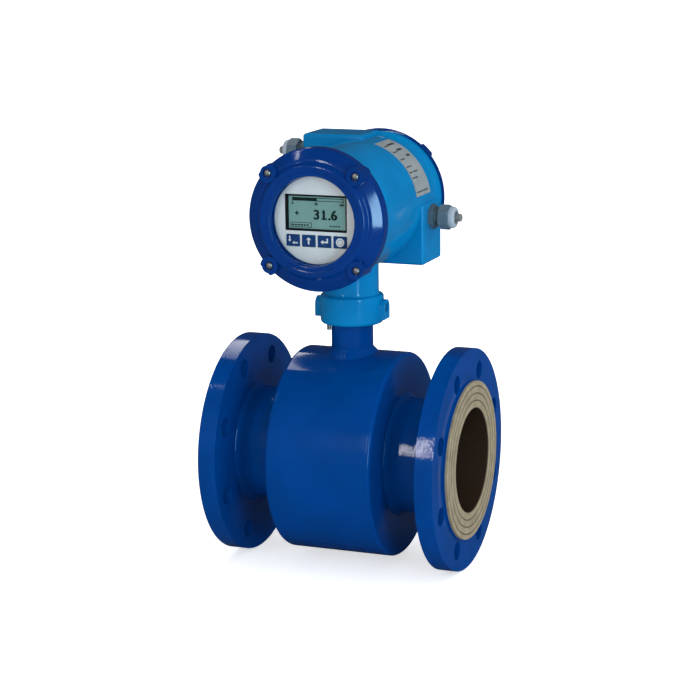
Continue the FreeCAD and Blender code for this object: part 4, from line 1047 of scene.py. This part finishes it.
# ---- carried-over CAD nodes
carried = {
    # laminated magnet steel, phosphated: dull dark grey
    "pole_piece_upper pole_piece_lower return_yoke": plain_finish(
        "magnet_steel_phosphated", "55585c", "46494d", 0.8, 0.5, 1.2, 0.03),
    # glass-filled polyamide, moulded
    "coil_bobbin_upper coil_bobbin_lower": plain_finish(
        "polyamide_bobbin", "c8c2b0", "b9b39f", 0, 0.55, 1.0, 0.03),
    # enamelled copper wire, wound in layers
    "coil_upper coil_lower": plain_finish("enamelled_copper", "a8592a", "8a431d", 0.9, 0.32, 0.6, 0.08),
    "yoke_screws electrode_front electrode_rear electrode_nuts collar_lock_screws": stainless,
    "collar_pin stack_screws": stainless,
    # nitrile rubber, moulded: dull black
    ("neck_gasket front_gasket rear_gasket neck_grommet sensor_lead "
     "gland_seal_left gland_seal_right"): plain_finish(
        "nitrile_rubber", "1d1e20", "151617", 0, 0.6, 0.9, 0.03),
    # acetal bushes, turned
    "electrode_bushes": plain_finish("acetal_turned", "dcd8cc", "cfcabc", 0, 0.45, 1.0, 0.02),
    # epoxy glass laminate with green solder resist
    "display_board main_board terminal_board": plain_finish(
        "epoxy_laminate_green", "1d5a3a", "174b30", 0, 0.4, 1.4, 0.02),
    # nickel-plated brass, turned
    "panel_spacers board_pillars terminal_posts": plain_finish(
        "nickel_plated_brass", "b5b2a6", "a09d92", 1, 0.3, 0.8, 0.02),
    # epoxy potting compound, poured
    "power_module": plain_finish("epoxy_potting_black", "202224", "191b1c", 0, 0.35, 4.0, 0.05),
    # polyamide terminal blocks, moulded
    "terminal_strips": plain_finish("polyamide_terminal_green", "2f7a4a", "286b40", 0, 0.45, 0.8, 0.02),
    "gland_locknuts": gland_grey_with_shade,
}
for nodes, material in carried.items():
    for node in nodes.split():
        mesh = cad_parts[node].data
        mesh.materials.clear()
        mesh.materials.append(material)


# ---- floor, camera and light
FLOOR_GLOW = 0.6              # of the board under the object, as the eye sees it
LEFT_LIGHT = 0.15              # strength of the room's soft light from either side
RIGHT_LIGHT = 1.4


def either(tree, path, *names):
    """1 where a ray is of any of these kinds."""
    seen = path.outputs[names[0]]
    for name in names[1:]:
        seen = maths(tree, "MAXIMUM", seen, path.outputs[name])
    return seen


floor = started("floor", bpy.ops.mesh.primitive_plane_add, size=30, location=(0, 0, -flange_r * MM - 0.0005))
floor_material, tree, shader, place = new_material("matt_white_board")
# the eye sees the board white, and whiter away from the object; the gloss sees a dim board
path = add(tree, "ShaderNodeLightPath")
away = add(tree, "ShaderNodeVectorMath", {0: place}, operation="LENGTH").outputs["Value"]
far = ranged(tree, away, 0.35, 1.6, FLOOR_GLOW, 1.0)
to_eye = either(tree, path, "Is Camera Ray", "Is Transmission Ray")
board = blended(tree, path.outputs["Is Glossy Ray"], (0.92, 0.92, 0.93, 1), (0.07, 0.08, 0.10, 1))
plug(shader, {"Base Color": board, "Roughness": 0.9, "Specular IOR Level": 0.0,
              "Emission Color": (1, 1, 1, 1), "Emission Strength": maths(tree, "MULTIPLY", to_eye, far)})
floor.data.materials.append(floor_material)

world = bpy.data.worlds.new("studio")
bpy.context.scene.world = world
world.use_nodes = True
tree = world.node_tree
tree.nodes.clear()
path = add(tree, "ShaderNodeLightPath")
way = add(tree, "ShaderNodeTexCoord").outputs["Generated"]
axes = add(tree, "ShaderNodeSeparateXYZ", {"Vector": way})
# the gloss sees a dim studio, darkest behind the object and overhead
behind = ranged(tree, axes.outputs["Y"], -0.6, 0.2, 0.12, 0.035)
overhead = ranged(tree, axes.outputs["Z"], 0.35, 0.85, 1.0, 0.25)
room = maths(tree, "MULTIPLY", behind, overhead)
walls = ranged(tree, axes.outputs["X"], -1.0, 1.0, LEFT_LIGHT, RIGHT_LIGHT)
to_gloss = blended(tree, path.outputs["Is Glossy Ray"], walls, room)
tone = blended(tree, either(tree, path, "Is Camera Ray", "Is Transmission Ray"), to_gloss, (1, 1, 1, 1))
background = add(tree, "ShaderNodeBackground", {"Color": tone, "Strength": 1.0})
add(tree, "ShaderNodeOutputWorld", {"Surface": background.outputs[0]})


def stood(name, data):
    """Put a lamp or a camera into the scene."""
    made = bpy.data.objects.new(name, data)
    bpy.context.scene.collection.objects.link(made)
    return made


def softbox(name, place, target, across, width, height, power, tone=(1, 1, 1)):
    """Box lamp that looks at its target, with its width along across; the eye doesn't see it."""
    lamp = bpy.data.lights.new(name, "AREA")
    lamp.shape = "RECTANGLE"
    lamp.size = width
    lamp.size_y = height
    lamp.energy = power
    lamp.color = tone
    made = stood(name, lamp)
    back = (Vector(place) - Vector(target)).normalized()
    side = (Vector(across) - back * back.dot(Vector(across))).normalized()
    turn = Matrix((side, back.cross(side), back)).transposed().to_4x4()
    made.matrix_world = Matrix.Translation(place) @ turn
    made.visible_camera = False


for lamp in (
        ("front_left_box", (-0.65, -2.07, 0.88), (0.08, -0.05, 0.02), (1, 0, 0), 0.07, 0.7, 6),
        ("overhead_box", (-0.87, 1.04, 1.52), (-0.08, 0, 0.1), (1, 0, 0), 0.15, 1.2, 2.6),
        ("right_box", (1.36, -1.25, 0.2), (0.06, -0.1, 0.25), (0.66, 0.75, 0), 0.24, 1.5, 16,
         (0.42, 0.76, 1.0)),
        ("upper_left_box", (-1.1, -0.73, 1.72), (-0.03, -0.1, 0.28), (0.55, -0.83, 0), 0.04, 0.4, 0.8)):
    softbox(*lamp)

CAMERA_PLACE = (0.72536, -1.86109, 0.54699)
CAMERA_TURN = (-21.369, -12.563, -0.654)   # yaw, pitch and roll in degrees
camera_data = bpy.data.cameras.new("view")
camera_data.sensor_width = 36
camera_data.lens = 106.147
camera = stood("view", camera_data)
yaw, pitch, roll = (math.radians(value) for value in CAMERA_TURN)
forward = Vector((math.sin(yaw) * math.cos(pitch), math.cos(yaw) * math.cos(pitch), math.sin(pitch)))
level_right = forward.cross(Vector((0, 0, 1))).normalized()
level_up = level_right.cross(forward)
right = math.cos(roll) * level_right + math.sin(roll) * level_up
up = math.cos(roll) * level_up - math.sin(roll) * level_right
camera.matrix_world = (Matrix.Translation(CAMERA_PLACE)
                       @ Matrix((right, up, -forward)).transposed().to_4x4())
bpy.context.scene.camera = camera
bpy.context.scene.view_settings.view_transform = "Standard"
